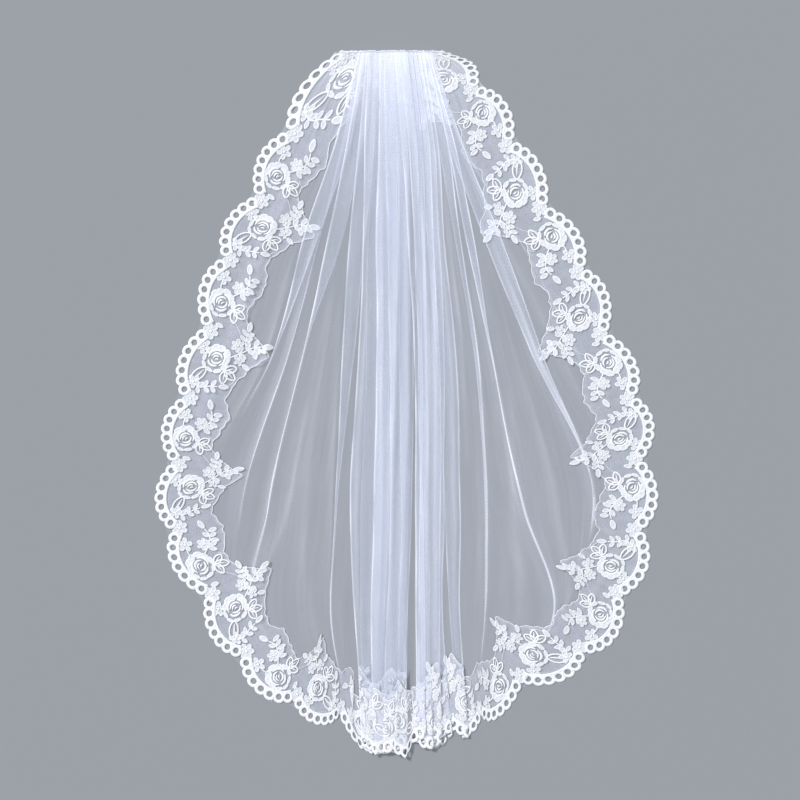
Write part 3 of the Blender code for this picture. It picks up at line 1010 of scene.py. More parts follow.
    def sample(self, column: Array, up: Array) -> tuple[Array, Array]:
        """Reads the sheet near its hem.

        Args:
            column: Columns, as fractions.
            up: How far up from the hem, in metres. Below 0 goes on past it.

        Returns:
            Points and normals there.
        """
        height = HEADING_Y - np.interp(column, np.arange(len(self.stretch)), self.points[-1, :, 1])
        row = (self.rows - 1) * (1.0 - up / height)
        near_row = np.clip(np.floor(row).astype(int), 0, self.rows - 2)
        near_column = np.clip(column.astype(int), 0, len(self.stretch) - 2)
        down, over = (row - near_row)[:, None], (column - near_column)[:, None]
        found = []
        for values in (self.points, self.normals):
            upper = values[near_row, near_column] * (1 - over) + values[near_row, near_column + 1] * over
            lower = (values[near_row + 1, near_column] * (1 - over)
                     + values[near_row + 1, near_column + 1] * over)
            share = down if values is self.points else np.clip(down, 0.0, 1.0)
            found.append(upper * (1 - share) + lower * share)
        return found[0], found[1]

    def build(self) -> bpy.types.Object:
        """Makes the sheet's mesh, with its cover and its map of the flat cloth.

        Returns:
            The piece.
        """
        points = self.points.copy()
        points[..., :2] += SHIFT
        rows, columns = points.shape[:2]
        steps = np.linalg.norm(np.diff(points, axis=1), axis=2)
        flat = np.concatenate((np.zeros((rows, 1)), np.cumsum(steps, axis=1)), axis=1)
        flat -= flat.mean(axis=1, keepdims=True)
        thread = np.broadcast_to(self.run[None, :], flat.shape)
        maps = {"cloth": np.stack((flat, points[..., 1]), axis=2).reshape(-1, 2),
                "gathers": np.stack((thread, points[..., 1] * self.thread_slope), axis=2).reshape(-1, 2)}
        LOG.info("pleats from left to right: %s", ", ".join(pleat.name for pleat in self.pleats))
        return add_mesh("tulle_sheet", points.reshape(-1, 3), grid_faces(rows, columns), TULLE_FINISH.make(),
                        maps, {"cover": self.cover, "bright": self.bright}, shadow=False)


# ---- Edging ----


@dataclass
class Ribbon:
    """The way of the lace ribbon: down the left side, along every layer of the hem, up the right side."""

    outline: Outline
    tulle: Tulle
    hem_scallops: int = 10
    join_reach: float = 14.0 * MM     # over which the ribbon turns from the side to the hem
    lift: float = 0.25 * MM           # of the ribbon off the tulle
    hem_lift: float = 0.5             # of the thread work's own height, under the other layers
    floor_lift: float = 0.0001        # of the ribbon off the floor
    edge_ease: float = 12.0 * MM      # over which it comes down from the tulle's edge to the floor
    probe: float = 0.05               # how far up the tulle's own direction is taken
    left_count: int = field(init=False)
    right_count: int = field(init=False)
    hem_start: int = field(init=False)
    hem_end: int = field(init=False)
    total: int = field(init=False)
    run: Array = field(init=False)
    inner_span: tuple[float, float] = field(init=False)

    def __post_init__(self) -> None:
        """Counts the scallops and measures the hem."""
        self.left_count = len(self.outline.left) - 1
        self.right_count = len(self.outline.right) - 1
        self.hem_start = self.left_count
        self.hem_end = self.left_count + self.hem_scallops
        self.total = self.hem_end + self.right_count
        self.run = self.tulle.hem_lengths()
        stretches = self.tulle.stretch
        first = int(np.argmax(stretches == 2 * OPEN_PLEATS))
        last = int(np.argmax(stretches == 2 * (len(self.tulle.pleats) - OPEN_PLEATS) + 1))
        self.inner_span = (self.run[first], self.run[last])

    def side_place(self, side: Side, along: Array, depth: Array) -> tuple[Array, Array]:
        """Points and normals beside a side's notches.

        Args:
            side: The side of the veil.
            along: Scallops from the left end of the heading.
            depth: How far in from the line of notches.

        Returns:
            Points and normals.
        """
        count = self.left_count if side is Side.LEFT else self.right_count
        place = along if side is Side.LEFT else self.total - along
        place = np.clip(place, 0.0, count)
        flat = self.outline.point(side, place) + self.outline.lace_way(side, place) * depth[:, None]
        return self.on_fan(flat)

    def on_fan(self, flat: Array) -> tuple[Array, Array]:
        """Points on the lowest layer of the tulle, or on the floor outside it, and upright normals.

        Args:
            flat: Their x and y.

        Returns:
            Points and normals.
        """
        place = np.clip((HEADING_Y - flat[:, 1]) / (HEADING_Y - CORNER_Y), 0.0, 1.0)
        left = flat[:, 0] - self.outline.edge_x(Side.LEFT, flat[:, 1])
        right = self.outline.edge_x(Side.RIGHT, flat[:, 1]) - flat[:, 0]
        inside = smooth_step(np.minimum(left, right) / self.edge_ease + 0.5)
        height = (self.tulle.lowest + self.tulle.relief(flat[:, 0], place)) * inside
        points = np.column_stack((flat, height))
        return points, np.tile((0.0, 0.0, 1.0), (len(flat), 1))

    def end_gap(self, side: Side) -> Array:
        """The step from the hem's end to the side's last notch.

        Args:
            side: The side of the veil.

        Returns:
            The step, in x and y.
        """
        left = side is Side.LEFT
        last = np.array([float(self.left_count if left else self.right_count)])
        return self.outline.point(side, last)[0] - self.tulle.points[-1, 0 if left else -1, :2]

    def hem_place(self, along: Array, depth: Array) -> tuple[Array, Array]:
        """Points and normals on the layers of the hem.

        Args:
            along: Scallops from the left end of the heading.
            depth: How far in from the line of notches.

        Returns:
            Points and normals.
        """
        run = (along - self.hem_start) / self.hem_scallops * self.run[-1]
        column = np.interp(run, self.run, np.arange(len(self.run)))
        on_sheet, sheet_normals = self.tulle.sample(column, depth + MARGIN)
        border, _ = self.tulle.sample(column, np.zeros_like(depth))
        upright, _ = self.tulle.sample(column, np.full_like(depth, self.probe))
        way = (upright - border)[:, :2]
        way /= np.linalg.norm(way, axis=1, keepdims=True)
        first, last = self.inner_span
        share = smooth_step((run - first) / self.join_reach) * smooth_step((last - run) / self.join_reach)
        share = share[:, None]
        beyond = self.run[-1] - run
        reach = first + self.join_reach, self.run[-1] - last + self.join_reach
        lean = HEM_LEAN * (1.0 - smooth_step(run / reach[0]))
        lean -= HEM_LEAN * (1.0 - smooth_step(beyond / reach[1]))
        upright_way = np.stack((lean, np.ones_like(lean)), axis=1)
        way = upright_way * (1 - share) + way * share
        margin = np.array((0.0, MARGIN))
        near_left = 1.0 - smooth_step(run / first)[:, None]
        near_right = 1.0 - smooth_step(beyond / (self.run[-1] - last))[:, None]
        gap = margin + (self.end_gap(Side.LEFT) - margin) * near_left
        gap = gap + (self.end_gap(Side.RIGHT) - margin) * near_right
        beside, _ = self.on_fan(border[:, :2] + gap + way * depth[:, None])
        normals = np.array((0.0, 0.0, 1.0)) * (1 - share) + sheet_normals * share
        return beside * (1 - share) + on_sheet * share, normals

    def locate(self, along: Array, depth: Array, lift: Array) -> Array:
        """Places points of the flat ribbon on the veil.

        Args:
            along: Scallops from the left end of the heading.
            depth: How far in from the line of notches.
            lift: How far above the ribbon's face.

        Returns:
            The points.
        """
        points = np.zeros((len(along), 3))
        normals = np.zeros((len(along), 3))
        left = along <= self.hem_start
        right = along >= self.hem_end
        middle = ~(left | right)
        for mask, find in ((left, partial(self.side_place, Side.LEFT)),
                           (right, partial(self.side_place, Side.RIGHT)),
                           (middle, self.hem_place)):
            if mask.any():
                points[mask], normals[mask] = find(along[mask], depth[mask])
        points = points + normals * (lift * np.where(middle, self.hem_lift, 1.0) + self.lift)[:, None]
        points[:, 2] = np.maximum(points[:, 2], self.floor_lift + lift * 0.2)
        points[:, :2] += SHIFT
        return points


def turned(points: Array, angle: float) -> Array:
    """Points turned about the origin of the flat ribbon."""
    cos, sin = math.cos(angle), math.sin(angle)
    return points @ np.array(((cos, sin), (-sin, cos)))


def oval(length: float, width: float, count: int, point: float = 1.0) -> Array:
    """A closed outline along X from 0 to length.

    Args:
        length: Its length.
        width: Its width.
        count: How many points.
        point: Above 1 makes its ends more pointed.

    Returns:
        The outline, from its near end.
    """
    angle = np.linspace(0.0, 2 * math.pi, count, endpoint=False)
    across = np.sign(np.sin(angle)) * np.abs(np.sin(angle)) ** point
    return np.stack((length / 2 * (1 - np.cos(angle)), -width / 2 * across), axis=1)


def arc(centre: tuple[float, float], radius: float, first: float, last: float, count: int) -> Array:
    """Points on an arc, between two angles.

    Args:
        centre: Its centre.
        radius: Its radius.
        first: Where it begins.
        last: Where it ends.
        count: How many points.

    Returns:
        The points.
    """
    angle = np.linspace(first, last, count)
    return np.array(centre) + radius * np.stack((np.cos(angle), np.sin(angle)), axis=1)


def curve(stops: Sequence[Sequence[float]], step: float) -> Array:
    """A smooth line through stops, with a point at about every step.

    Args:
        stops: Points that it goes through.
        step: The distance between its points.

    Returns:
        The line.
    """
    stops = np.array(stops, float)
    run = np.concatenate(([0.0], np.cumsum(np.linalg.norm(np.diff(stops, axis=0), axis=1))))
    at = np.linspace(0.0, run[-1], max(3, int(run[-1] / step) + 1))
    return np.stack((through(run, stops[:, 0], at), through(run, stops[:, 1], at)), axis=1)


class Threadwork:
    """Raised thread work on the flat ribbon, in millimetres: x along the edging, y into the veil."""

    SECTION = ((-0.5, 0.0), (-0.36, 0.72), (0.0, 1.0), (0.36, 0.72), (0.5, 0.0))
    RINGS = ((1.0, 0.0), (0.86, 0.75), (0.60, 1.0))
    HEIGHT_STEP = 0.03           # in height between patches that follow each other
    HEIGHT_STEPS = 7
    FOOT_SHADE = 0.1              # painted shade where a patch meets the net

    def __init__(self) -> None:
        """Starts with no thread."""
        self.flat: list[Array] = []
        self.lifts: list[Array] = []
        self.strokes: list[Array] = []
        self.relief_lights: list[Array] = []
        self.faces: list[tuple[int, ...]] = []
        self.count = 0
        self.patches = 0
        self.origin = 0.0

    def add(self, flat: Array, lift: Array, stroke: Array, tone: Array) -> int:
        """Adds points and returns the number of the first.

        Args:
            flat: The points on the ribbon.
            lift: Their heights.
            stroke: Where they are along and across their stroke.
            tone: Their painted light, 1 where lit and lower where painted shade falls.

        Returns:
            The first number.
        """
        first = self.count
        self.relief_lights.append(tone)
        self.flat.append(flat + np.array((self.origin * CHORD, 0.0)))
        self.lifts.append(lift)
        self.strokes.append(stroke)
        self.count += len(flat)
        return first

    def cord(self, route: Array, width: float, height: float, closed: bool = False,
             taper: float = 0.0) -> None:
        """Lays a cord along a route.

        Args:
            route: The points that it follows.
            width: Its width.
            height: Its height.
            closed: Joins its ends.
            taper: How much its ends narrow, from 0 to 1.
        """
        count, sides = len(route), len(self.SECTION)
        if closed:
            way = np.roll(route, -1, axis=0) - np.roll(route, 1, axis=0)
        else:
            way = np.gradient(route, axis=0)
        way /= np.linalg.norm(way, axis=1, keepdims=True)
        left = np.stack((-way[:, 1], way[:, 0]), axis=1)
        run = np.concatenate(([0.0], np.cumsum(np.linalg.norm(np.diff(route, axis=0), axis=1))))
        section = np.array(self.SECTION)
        swell = 1.0 - taper * (1.0 - np.sin(math.pi * np.linspace(0.0, 1.0, count)) ** 0.6)
        flat = route[:, None, :] - (left * swell[:, None])[:, None, :] * section[None, :, :1] * width
        lift = section[None, :, 1] * height * (0.4 + 0.6 * swell)[:, None]
        stroke = np.stack(np.broadcast_arrays(run[:, None], section[None, :, 0] * width), axis=2)
        first = self.add(flat.reshape(-1, 2), lift.reshape(-1), stroke.reshape(-1, 2),
                         np.ones(count * sides))
        for spot in range(count if closed else count - 1):
            self.faces += band_faces(first + spot * sides, first + (spot + 1) % count * sides, sides)
        if not closed:
            self.faces.append(lid_face(first, sides)[::-1])
            self.faces.append(lid_face(first + (count - 1) * sides, sides))

    def satin(self, outline: Array, height: float, centre: float = 1.0) -> None:
        """Fills an outline with satin stitch.

        Args:
            outline: The outline, counter-clockwise.
            height: The rim's height.
            centre: The middle's height, as a share of the rim's; the lower it is, the darker the painted
                shade there.
        """
        height *= 1.0 + self.HEIGHT_STEP * (self.patches % self.HEIGHT_STEPS)   # no neighbours are level
        self.patches += 1
        count = len(outline)
        middle = outline.mean(axis=0)
        rings, lifts = [], []
        for scale, share in self.RINGS:
            inmost = scale == self.RINGS[-1][0]
            rings.append(middle + (outline - middle) * scale)
            lifts.append(np.full(count, share * height * (centre if inmost else 1.0)))
        rings.append(middle[None, :])
        lifts.append(np.array((height * centre,)))
        flat = np.concatenate(rings)
        # Painted shade at the patch's foot and in its sunken middle; its rim is lit
        relief_lights = np.concatenate((np.full(count, self.FOOT_SHADE), np.ones(count),
                                np.full(count, 0.3 + 0.7 * centre), (centre,)))
        first = self.add(flat, np.concatenate(lifts), flat - outline[0], relief_lights)
        for ring in range(len(self.RINGS) - 1):
            self.faces += band_faces(first + ring * count, first + (ring + 1) * count, count)
        last, top = first + (len(self.RINGS) - 1) * count, first + len(self.RINGS) * count
        for k in range(count):
            self.faces.append((last + k, last + (k + 1) % count, top))
        self.faces.append(lid_face(first, count)[::-1])

    def build(self, name: str, ribbon: Ribbon, finish: bpy.types.Material) -> bpy.types.Object:
        """Makes the mesh, laid on the ribbon.

        Args:
            name: The piece's name.
            ribbon: What it lies on.
            finish: Its material.

        Returns:
            The piece.
        """
        flat = np.concatenate(self.flat)
        points = ribbon.locate(np.clip(flat[:, 0] / CHORD, 0.0, ribbon.total), flat[:, 1] * MM,
                               np.concatenate(self.lifts) * MM)
        return add_mesh(name, points, self.faces, finish, {"stroke": np.concatenate(self.strokes) * MM},
                        {"tone": np.concatenate(self.relief_lights)})


@dataclass(frozen=True)
class Motifs:
    """The figures of the embroidery, in millimetres on the flat ribbon."""

    thread: Threadwork
    cord_width: float = 2.4
    cord_height: float = 1.0
    satin_height: float = 1.0
    sunken: float = 0.36              # height of a leaf's middle, as a share of its rim's, which also sets its painted shade
    picots: int = 7                   # along a scallop
    picot_radius: float = 5.8
    picot_width: float = 4.8
    picot_depth: float = 8.2          # of their middles in from the scallop's edge
    arc_depth: float = 14.6           # of the arc behind them
    arc_width: float = 3.2

    # The rose's outer petals: angle in degrees, reach, breadth and length
    ROSE_PETALS = (
        (0, 1.0, 1.0, 0.40), (36, 0.97, 0.9, 0.42), (69, 1.03, 1.05, 0.46), (106, 0.98, 0.95, 0.46),
        (140, 1.0, 1.0, 0.44), (176, 0.93, 1.1, 0.36), (214, 0.98, 1.0, 0.30), (248, 1.04, 0.9, 0.27),
        (282, 1.0, 1.05, 0.28), (322, 1.02, 1.0, 0.33))
    # The lines of its curling folds, as shares of its radius, from the outside in
    ROSE_FOLDS = (
        ((-0.44, -0.36), (-0.58, 0.02), (-0.40, 0.40), (-0.04, 0.54)),
        ((0.04, 0.57), (0.38, 0.44), (0.56, 0.10), (0.46, -0.22)),
        ((-0.38, -0.44), (-0.10, -0.56), (0.20, -0.48), (0.40, -0.28)),
        ((-0.40, -0.18), (-0.30, 0.20), (0.02, 0.36), (0.32, 0.26)),
        ((0.36, 0.16), (0.30, -0.16), (0.06, -0.34), (-0.22, -0.30)),
        ((-0.22, -0.20), (-0.16, 0.10), (0.08, 0.18)),
        ((-0.06, -0.14), (0.06, 0.02), (0.18, 0.02)))
    # What fills a corner beside the heading: along, in, angle, length and breadth of leaves
    CORNER_LEAVES = (
        (6, 22, 80, 13, 7.5), (13, 20, 60, 12, 7), (3, 34, 100, 13, 7.5), (14, 38, 75, 12, 7),
        (8, 47, 60, 12, 7), (2, 50, 120, 11, 6.5), (10, 30, 20, 10, 6), (18, 50, 95, 11, 6.5))
    CORNER_LOOPS = ((9, 27, 5.5), (6, 41, 6.0), (15, 30, 4.5))

    def ring(self, centre: tuple[float, float], radius: float, width: float, height: float) -> None:
        """A round loop of cord.

        Args:
            centre: Its middle.
            radius: Its radius, to the middle of the cord.
            width: The cord's width.
            height: The cord's height.
        """
        points = 16
        route = arc(centre, radius, 0.0, 2 * math.pi * (points - 1) / points, points)
        self.thread.cord(route, width, height, closed=True)

    def leaf(self, base: tuple[float, float], angle: float, length: float, width: float) -> None:
        """A leaf in satin stitch with a sunken middle.

        Args:
            base: Where it starts.
            angle: Its direction, in degrees.
            length: Its length.
            width: Its width.
        """
        shape = turned(oval(length, width, 14, 1.35), math.radians(angle)) + np.array(base)
        self.thread.satin(shape, self.satin_height, self.sunken)

    def open_leaf(self, base: tuple[float, float], angle: float, length: float, width: float) -> None:
        """A leaf in outline with a vein.

        Args:
            base: Where it starts.
            angle: Its direction, in degrees.
            length: Its length.
            width: Its width.
        """
        shape = turned(oval(length, width, 18, 1.4), math.radians(angle)) + np.array(base)
        self.thread.cord(shape, self.cord_width, self.cord_height, closed=True)
        vein = np.array(((0.12 * length, 0.0), (0.5 * length, 0.05 * width), (0.84 * length, 0.0)))
        vein = turned(vein, math.radians(angle)) + np.array(base)
        self.thread.cord(vein, 0.20 * width, 0.8, taper=0.5)

    def flower(self, centre: tuple[float, float], radius: float, petals: int, angle: float) -> None:
        """A small flower: round petals with raised rims about a knot.

        Args:
            centre: Its centre.
            radius: Its radius.
            petals: How many petals.
            angle: How far it is turned, in degrees.
        """
        for number in range(petals):
            turn = angle + 360.0 * number / petals
            shape = oval(radius * 0.88, radius * (0.72 + 0.06 * math.sin(3.0 * number)), 11, 0.85)
            shape[:, 0] += radius * 0.17
            shape = turned(shape, math.radians(turn)) + np.array(centre)
            self.thread.satin(shape, self.satin_height, self.sunken)
        knot = oval(radius * 0.48, radius * 0.48, 8) - np.array((radius * 0.24, 0.0))
        self.thread.satin(knot + np.array(centre), self.satin_height * 1.4)

    def rose(self, centre: tuple[float, float], radius: float, angle: float) -> None:
        """A full rose: ruffled outer petals, a gap on one side and a bud of curling folds.

        Args:
            centre: Its centre.
            radius: Its radius.
            angle: How far it is turned, in degrees.
        """
        middle = np.array(centre)
        for turn, reach, size, length in self.ROSE_PETALS:
            shape = oval(radius * length, radius * 0.64 * size, 12, 0.85)
            shape[:, 0] += radius * (reach - length)
            self.thread.satin(turned(shape, math.radians(angle + turn)) + middle, self.satin_height, 0.55)
        for number, stroke in enumerate(self.ROSE_FOLDS):
            line = curve(turned(np.array(stroke) * radius, math.radians(angle)), 1.8) + middle
            height = self.cord_height * (1.1 + 0.06 * number)
            self.thread.cord(line, radius * (0.21 - 0.010 * number), height, taper=0.75)

    def trio(self, base: tuple[float, float], angle: float) -> None:
        """Three open leaves from one point."""
        for turn, length in ((-54, 16.0), (2, 17.5), (54, 15.0)):
            self.open_leaf(base, angle + turn, length, 9.0)

    def stem(self, *stops: tuple[float, float]) -> Array:
        """A stem through these points.

        Args:
            stops: The points.

        Returns:
            Its line.
        """
        line = curve(stops, 2.2)
        self.thread.cord(line, 2.0, self.cord_height)
        return line

    def sprig(self, route: Sequence[tuple[float, float]], leaves: Iterable[float], size: float) -> None:
        """A stem with pairs of leaves and one leaf at its end.

        Args:
            route: The points that its stem goes through.
            leaves: Where the pairs of leaves are, as shares of its length.
            size: The length of a leaf.
        """
        line = self.stem(*route)
        for share in leaves:
            index = min(int(share * (len(line) - 1)), len(line) - 2)
            way = line[index + 1] - line[index]
            heading = math.degrees(math.atan2(way[1], way[0]))
            for turn in (50, -54):
                self.leaf(tuple(line[index]), heading + turn, size, size * 0.60)
        way = line[-1] - line[-2]
        self.leaf(tuple(line[-1]), math.degrees(math.atan2(way[1], way[0])), size * 1.4, size * 0.74)

    def border(self) -> None:
        """The scalloped border: a row of picots and the arc behind it."""
        half = math.asin(CHORD / 2 / ROUND)
        middle = (CHORD / 2, ROUND - RISE)
        ring = ROUND - self.picot_depth
        for number in range(self.picots):
            angle = -math.pi / 2 + half * (2 * (number + 0.5) / self.picots - 1)
            centre = (middle[0] + ring * math.cos(angle), middle[1] + ring * math.sin(angle))
            self.ring(centre, self.picot_radius, self.picot_width, self.cord_height * 1.1)
        reach = half * 1.02
        inner = arc(middle, ROUND - self.arc_depth, -math.pi / 2 - reach, -math.pi / 2 + reach, 34)
        self.thread.cord(inner, self.arc_width, self.cord_height * 1.2)

    def corner(self, way: float) -> None:
        """Leaves and loops crowded in beside the heading.

        Args:
            way: 1 at the left end and -1 at the right.
        """
        for along, depth, angle, length, width in self.CORNER_LEAVES:
            self.leaf((along * way, float(depth)), angle if way > 0 else 180 - angle, length, width)
        for along, depth, radius in self.CORNER_LOOPS:
            self.ring((along * way, float(depth)), radius, self.cord_width, self.cord_height)
        self.flower((12.0 * way, 12.0), 9.0, 5, 40)

    def loose_thread(self, *stops: tuple[float, float]) -> None:
        """A thin thread or crease in the net."""
        self.thread.cord(curve(stops, 3.0), 0.7, 0.3)

    def tall(self) -> None:
        """The tall figure: a rose with a branch that reaches far into the veil."""
        self.border()
        self.flower((2.0, 11.0), 10.5, 6, 20)
        self.flower((22.0, 8.5), 9.5, 5, 75)
        self.rose((32.0, 29.0), 18.5, 60)
        self.stem((24.0, 12.0), (27.0, 17.0), (29.0, 21.0))
        self.open_leaf((46.0, 20.0), -34, 24.0, 12.0)
        self.flower((66.0, 10.0), 9.0, 5, 10)
        self.sprig(((67.0, 8.0), (71.0, 20.0), (67.0, 32.0), (65.0, 42.0)), (0.30, 0.55, 0.80), 10.5)
        self.trio((44.0, 44.0), 62)
        self.flower((10.0, 50.0), 8.8, 6, 12)
        self.sprig(((27.0, 45.0), (17.0, 58.0), (7.0, 70.0), (4.0, 79.0)), (0.32, 0.58, 0.80), 12.0)
        self.sprig(((13.0, 62.0), (3.0, 58.0), (-9.0, 58.0)), (0.50, 0.82), 10.5)
        self.flower((27.0, 57.0), 7.5, 5, 30)
        self.leaf((31.0, 62.0), 68, 13.0, 7.0)
        self.leaf((10.0, 71.0), 30, 13.0, 7.6)
        self.leaf((4.0, 74.5), 66, 15.0, 8.0)
        self.loose_thread((47.0, 62.0), (56.0, 58.0), (64.0, 50.0))

    def short(self) -> None:
        """The short figure: a rose near the border with a curved sprig."""
        self.border()
        self.flower((-1.0, 12.0), 10.5, 6, -10)
        self.flower((22.0, 11.0), 9.8, 5, 15)
        self.stem((27.0, 11.0), (33.0, 10.0), (38.0, 11.0))
        self.rose((53.0, 16.0), 18.5, 95)
        self.trio((58.0, 33.0), 68)
        self.flower((29.0, 33.0), 8.8, 6, 40)
        self.sprig(((42.0, 28.0), (30.0, 40.0), (19.0, 45.0), (9.0, 42.0)), (0.40, 0.70), 11.5)
        self.leaf((26.0, 42.0), 70, 13.5, 7.6)
        self.leaf((35.0, 36.0), 55, 12.5, 7.0)
        self.leaf((14.0, 45.0), 98, 13.0, 7.6)
        self.leaf((80.0, 14.0), 80, 12.0, 6.6)
        self.loose_thread((68.0, 30.0), (76.0, 42.0), (86.0, 50.0))
        self.loose_thread((46.0, 44.0), (52.0, 52.0))


@dataclass
class Edging:
    """The lace ribbon: its net and its thread work."""

    ribbon: Ribbon
    net_steps: int = 26               # along a scallop
    net_rows: int = 13
    cover: float = 0.33
    flat_width: float = 0.115

    # How far in the net is cut at even steps along a scallop, in millimetres
    CUT = {Scallop.TALL: (77, 92, 85, 74, 69, 63, 59, 57), Scallop.SHORT: (62, 66, 64, 60, 55, 51, 54, 63)}
    TUCK = 0.58                  # share of its depth that the cut edge has at the heading
    TUCK_REACH = 0.7             # scallops in which it gets its whole depth
    CUT_SWAY = 2.2               # of the cut edge about its line, in millimetres
    ARC_DEPTH = 13.6             # of the net's outer edge in from the border's arc, in millimetres
    CORD_STEPS = 22              # of the cut edge's cord along a scallop
    BORDER_HALF = 33.0           # half the width over which the net follows the border's arc, in millimetres
    HEADING_BUNCH = 0.8, 0.30    # how much closer the net is at the heading, and its reach in scallops
    HEM_BUNCH = 0.55             # the same in the hem's pleats
    SELVEDGE = 0.9               # how much closer it is along its edges
    UNEVEN = 0.15                # how uneven it is
    PLAIN_LIGHT = 0.30           # how bright it is
    BUNCH_LIGHT = 0.35           # painted light that bunching adds to that
    SELVEDGE_LIGHT = 0.3         # painted light that the edges add

    def figure(self, number: int) -> Scallop:
        """The figure of a scallop, by its number from the left end."""
        return Scallop.TALL if number % 2 == 0 else Scallop.SHORT

    def cut_depth(self, along: Array) -> Array:
        """How far in the net reaches, in metres.

        Args:
            along: Scallops from the left end of the heading.

        Returns:
            The depths.
        """
        values = [depth for number in range(self.ribbon.total) for depth in self.CUT[self.figure(number)]]
        stops = np.arange(len(values)) / len(self.CUT[Scallop.TALL])
        depth = through(stops, values, np.clip(along, 0.0, stops[-1]))
        from_ends = np.minimum(along, self.ribbon.total - along)
        tucked = self.TUCK + (1.0 - self.TUCK) * smooth_step(from_ends / self.TUCK_REACH)
        return (depth * tucked + self.CUT_SWAY * ripple(along * 5.0, Seed.CUT_EDGE)) * MM

    def outer_depth(self, along: Array) -> Array:
        """Where the net begins, under the border's arc, in metres.

        Args:
            along: Scallops from the left end of the heading.

        Returns:
            The depths.
        """
        within = (along - np.floor(along)) * CHORD
        across = np.minimum(np.abs(within - CHORD / 2), self.BORDER_HALF)
        radius = ROUND - self.ARC_DEPTH
        return (ROUND - RISE - np.sqrt(radius ** 2 - across ** 2)) * MM

    def bunching(self, along: Array) -> Array:
        """How much closer the net is where it is gathered in, at the heading and in the hem's pleats.

        Args:
            along: Scallops from the left end of the heading.

        Returns:
            How many times closer.
        """
        from_ends = np.minimum(along, self.ribbon.total - along)
        in_hem = smooth_step(np.minimum(along - self.ribbon.hem_start - 1, self.ribbon.hem_end - along))
        closer, reach = self.HEADING_BUNCH
        return 1.0 + closer * np.exp(-(from_ends / reach) ** 2) + self.HEM_BUNCH * in_hem

    def build_net(self) -> bpy.types.Object:
        """The ribbon's net, from under the border to its cut edge.

        Returns:
            The piece.
        """
        steps = self.ribbon.total * self.net_steps + 1
        along = np.linspace(0.0, self.ribbon.total, steps)
        inner, outer = self.cut_depth(along), self.outer_depth(along)
        share = np.linspace(0.0, 1.0, self.net_rows)
        depth = inner[:, None] + (outer - inner)[:, None] * share
        wide = np.broadcast_to(along[:, None], depth.shape)
        points = self.ribbon.locate(wide.ravel(), depth.ravel(), np.zeros(depth.size))
        flat = np.stack((wide.ravel() * CHORD * MM, depth.ravel()), axis=1)
        faces = [face[::-1] for face in grid_faces(steps, self.net_rows)]
        edge = np.exp(-((1.0 - share) ** 2) / 0.002) + np.exp(-(share ** 2) / 0.0015)
        uneven = 1.0 + self.UNEVEN * ripple(along * 7, Seed.NET_COVER)[:, None]
        bunched = self.bunching(along)[:, None]
        selvedge = (1.0 + self.SELVEDGE * edge)[None, :]
        cover = np.clip(self.cover * selvedge * uneven * bunched, 0.0, 0.9)
        # Painted light: lighter where the net is bunched and along its edges
        bright = self.PLAIN_LIGHT + self.BUNCH_LIGHT * (bunched - 1.0) + self.SELVEDGE_LIGHT * edge[None, :]
        return add_mesh("lace_net", points, faces, GROUND_FINISH.make(), {"cloth": flat, "gathers": flat},
                        {"cover": cover, "bright": bright}, shadow=False)

    def build_work(self, name: str, first: int, last: int,
                   finish: bpy.types.Material) -> bpy.types.Object:
        """The thread work of the scallops from first up to last.

        Args:
            name: The piece's name.
            first: The first scallop.
            last: The scallop after the last.
            finish: Its material.

        Returns:
            The piece.
        """
        thread = Threadwork()
        motifs = Motifs(thread)
        for number in range(first, last):
            thread.origin = float(number)
            draw = motifs.tall if self.figure(number) is Scallop.TALL else motifs.short
            draw()
        for end, way in ((0, 1.0), (self.ribbon.total, -1.0)):
            if end in (first, last):
                thread.origin = float(end)
                motifs.corner(way)
        thread.origin = 0.0
        along = np.arange(first * self.CORD_STEPS, last * self.CORD_STEPS + 1) / self.CORD_STEPS
        line = np.stack((along * CHORD, self.cut_depth(along) / MM - 0.8), axis=1)
        thread.cord(line, 1.0, 0.45)
        return thread.build(name, self.ribbon, finish)


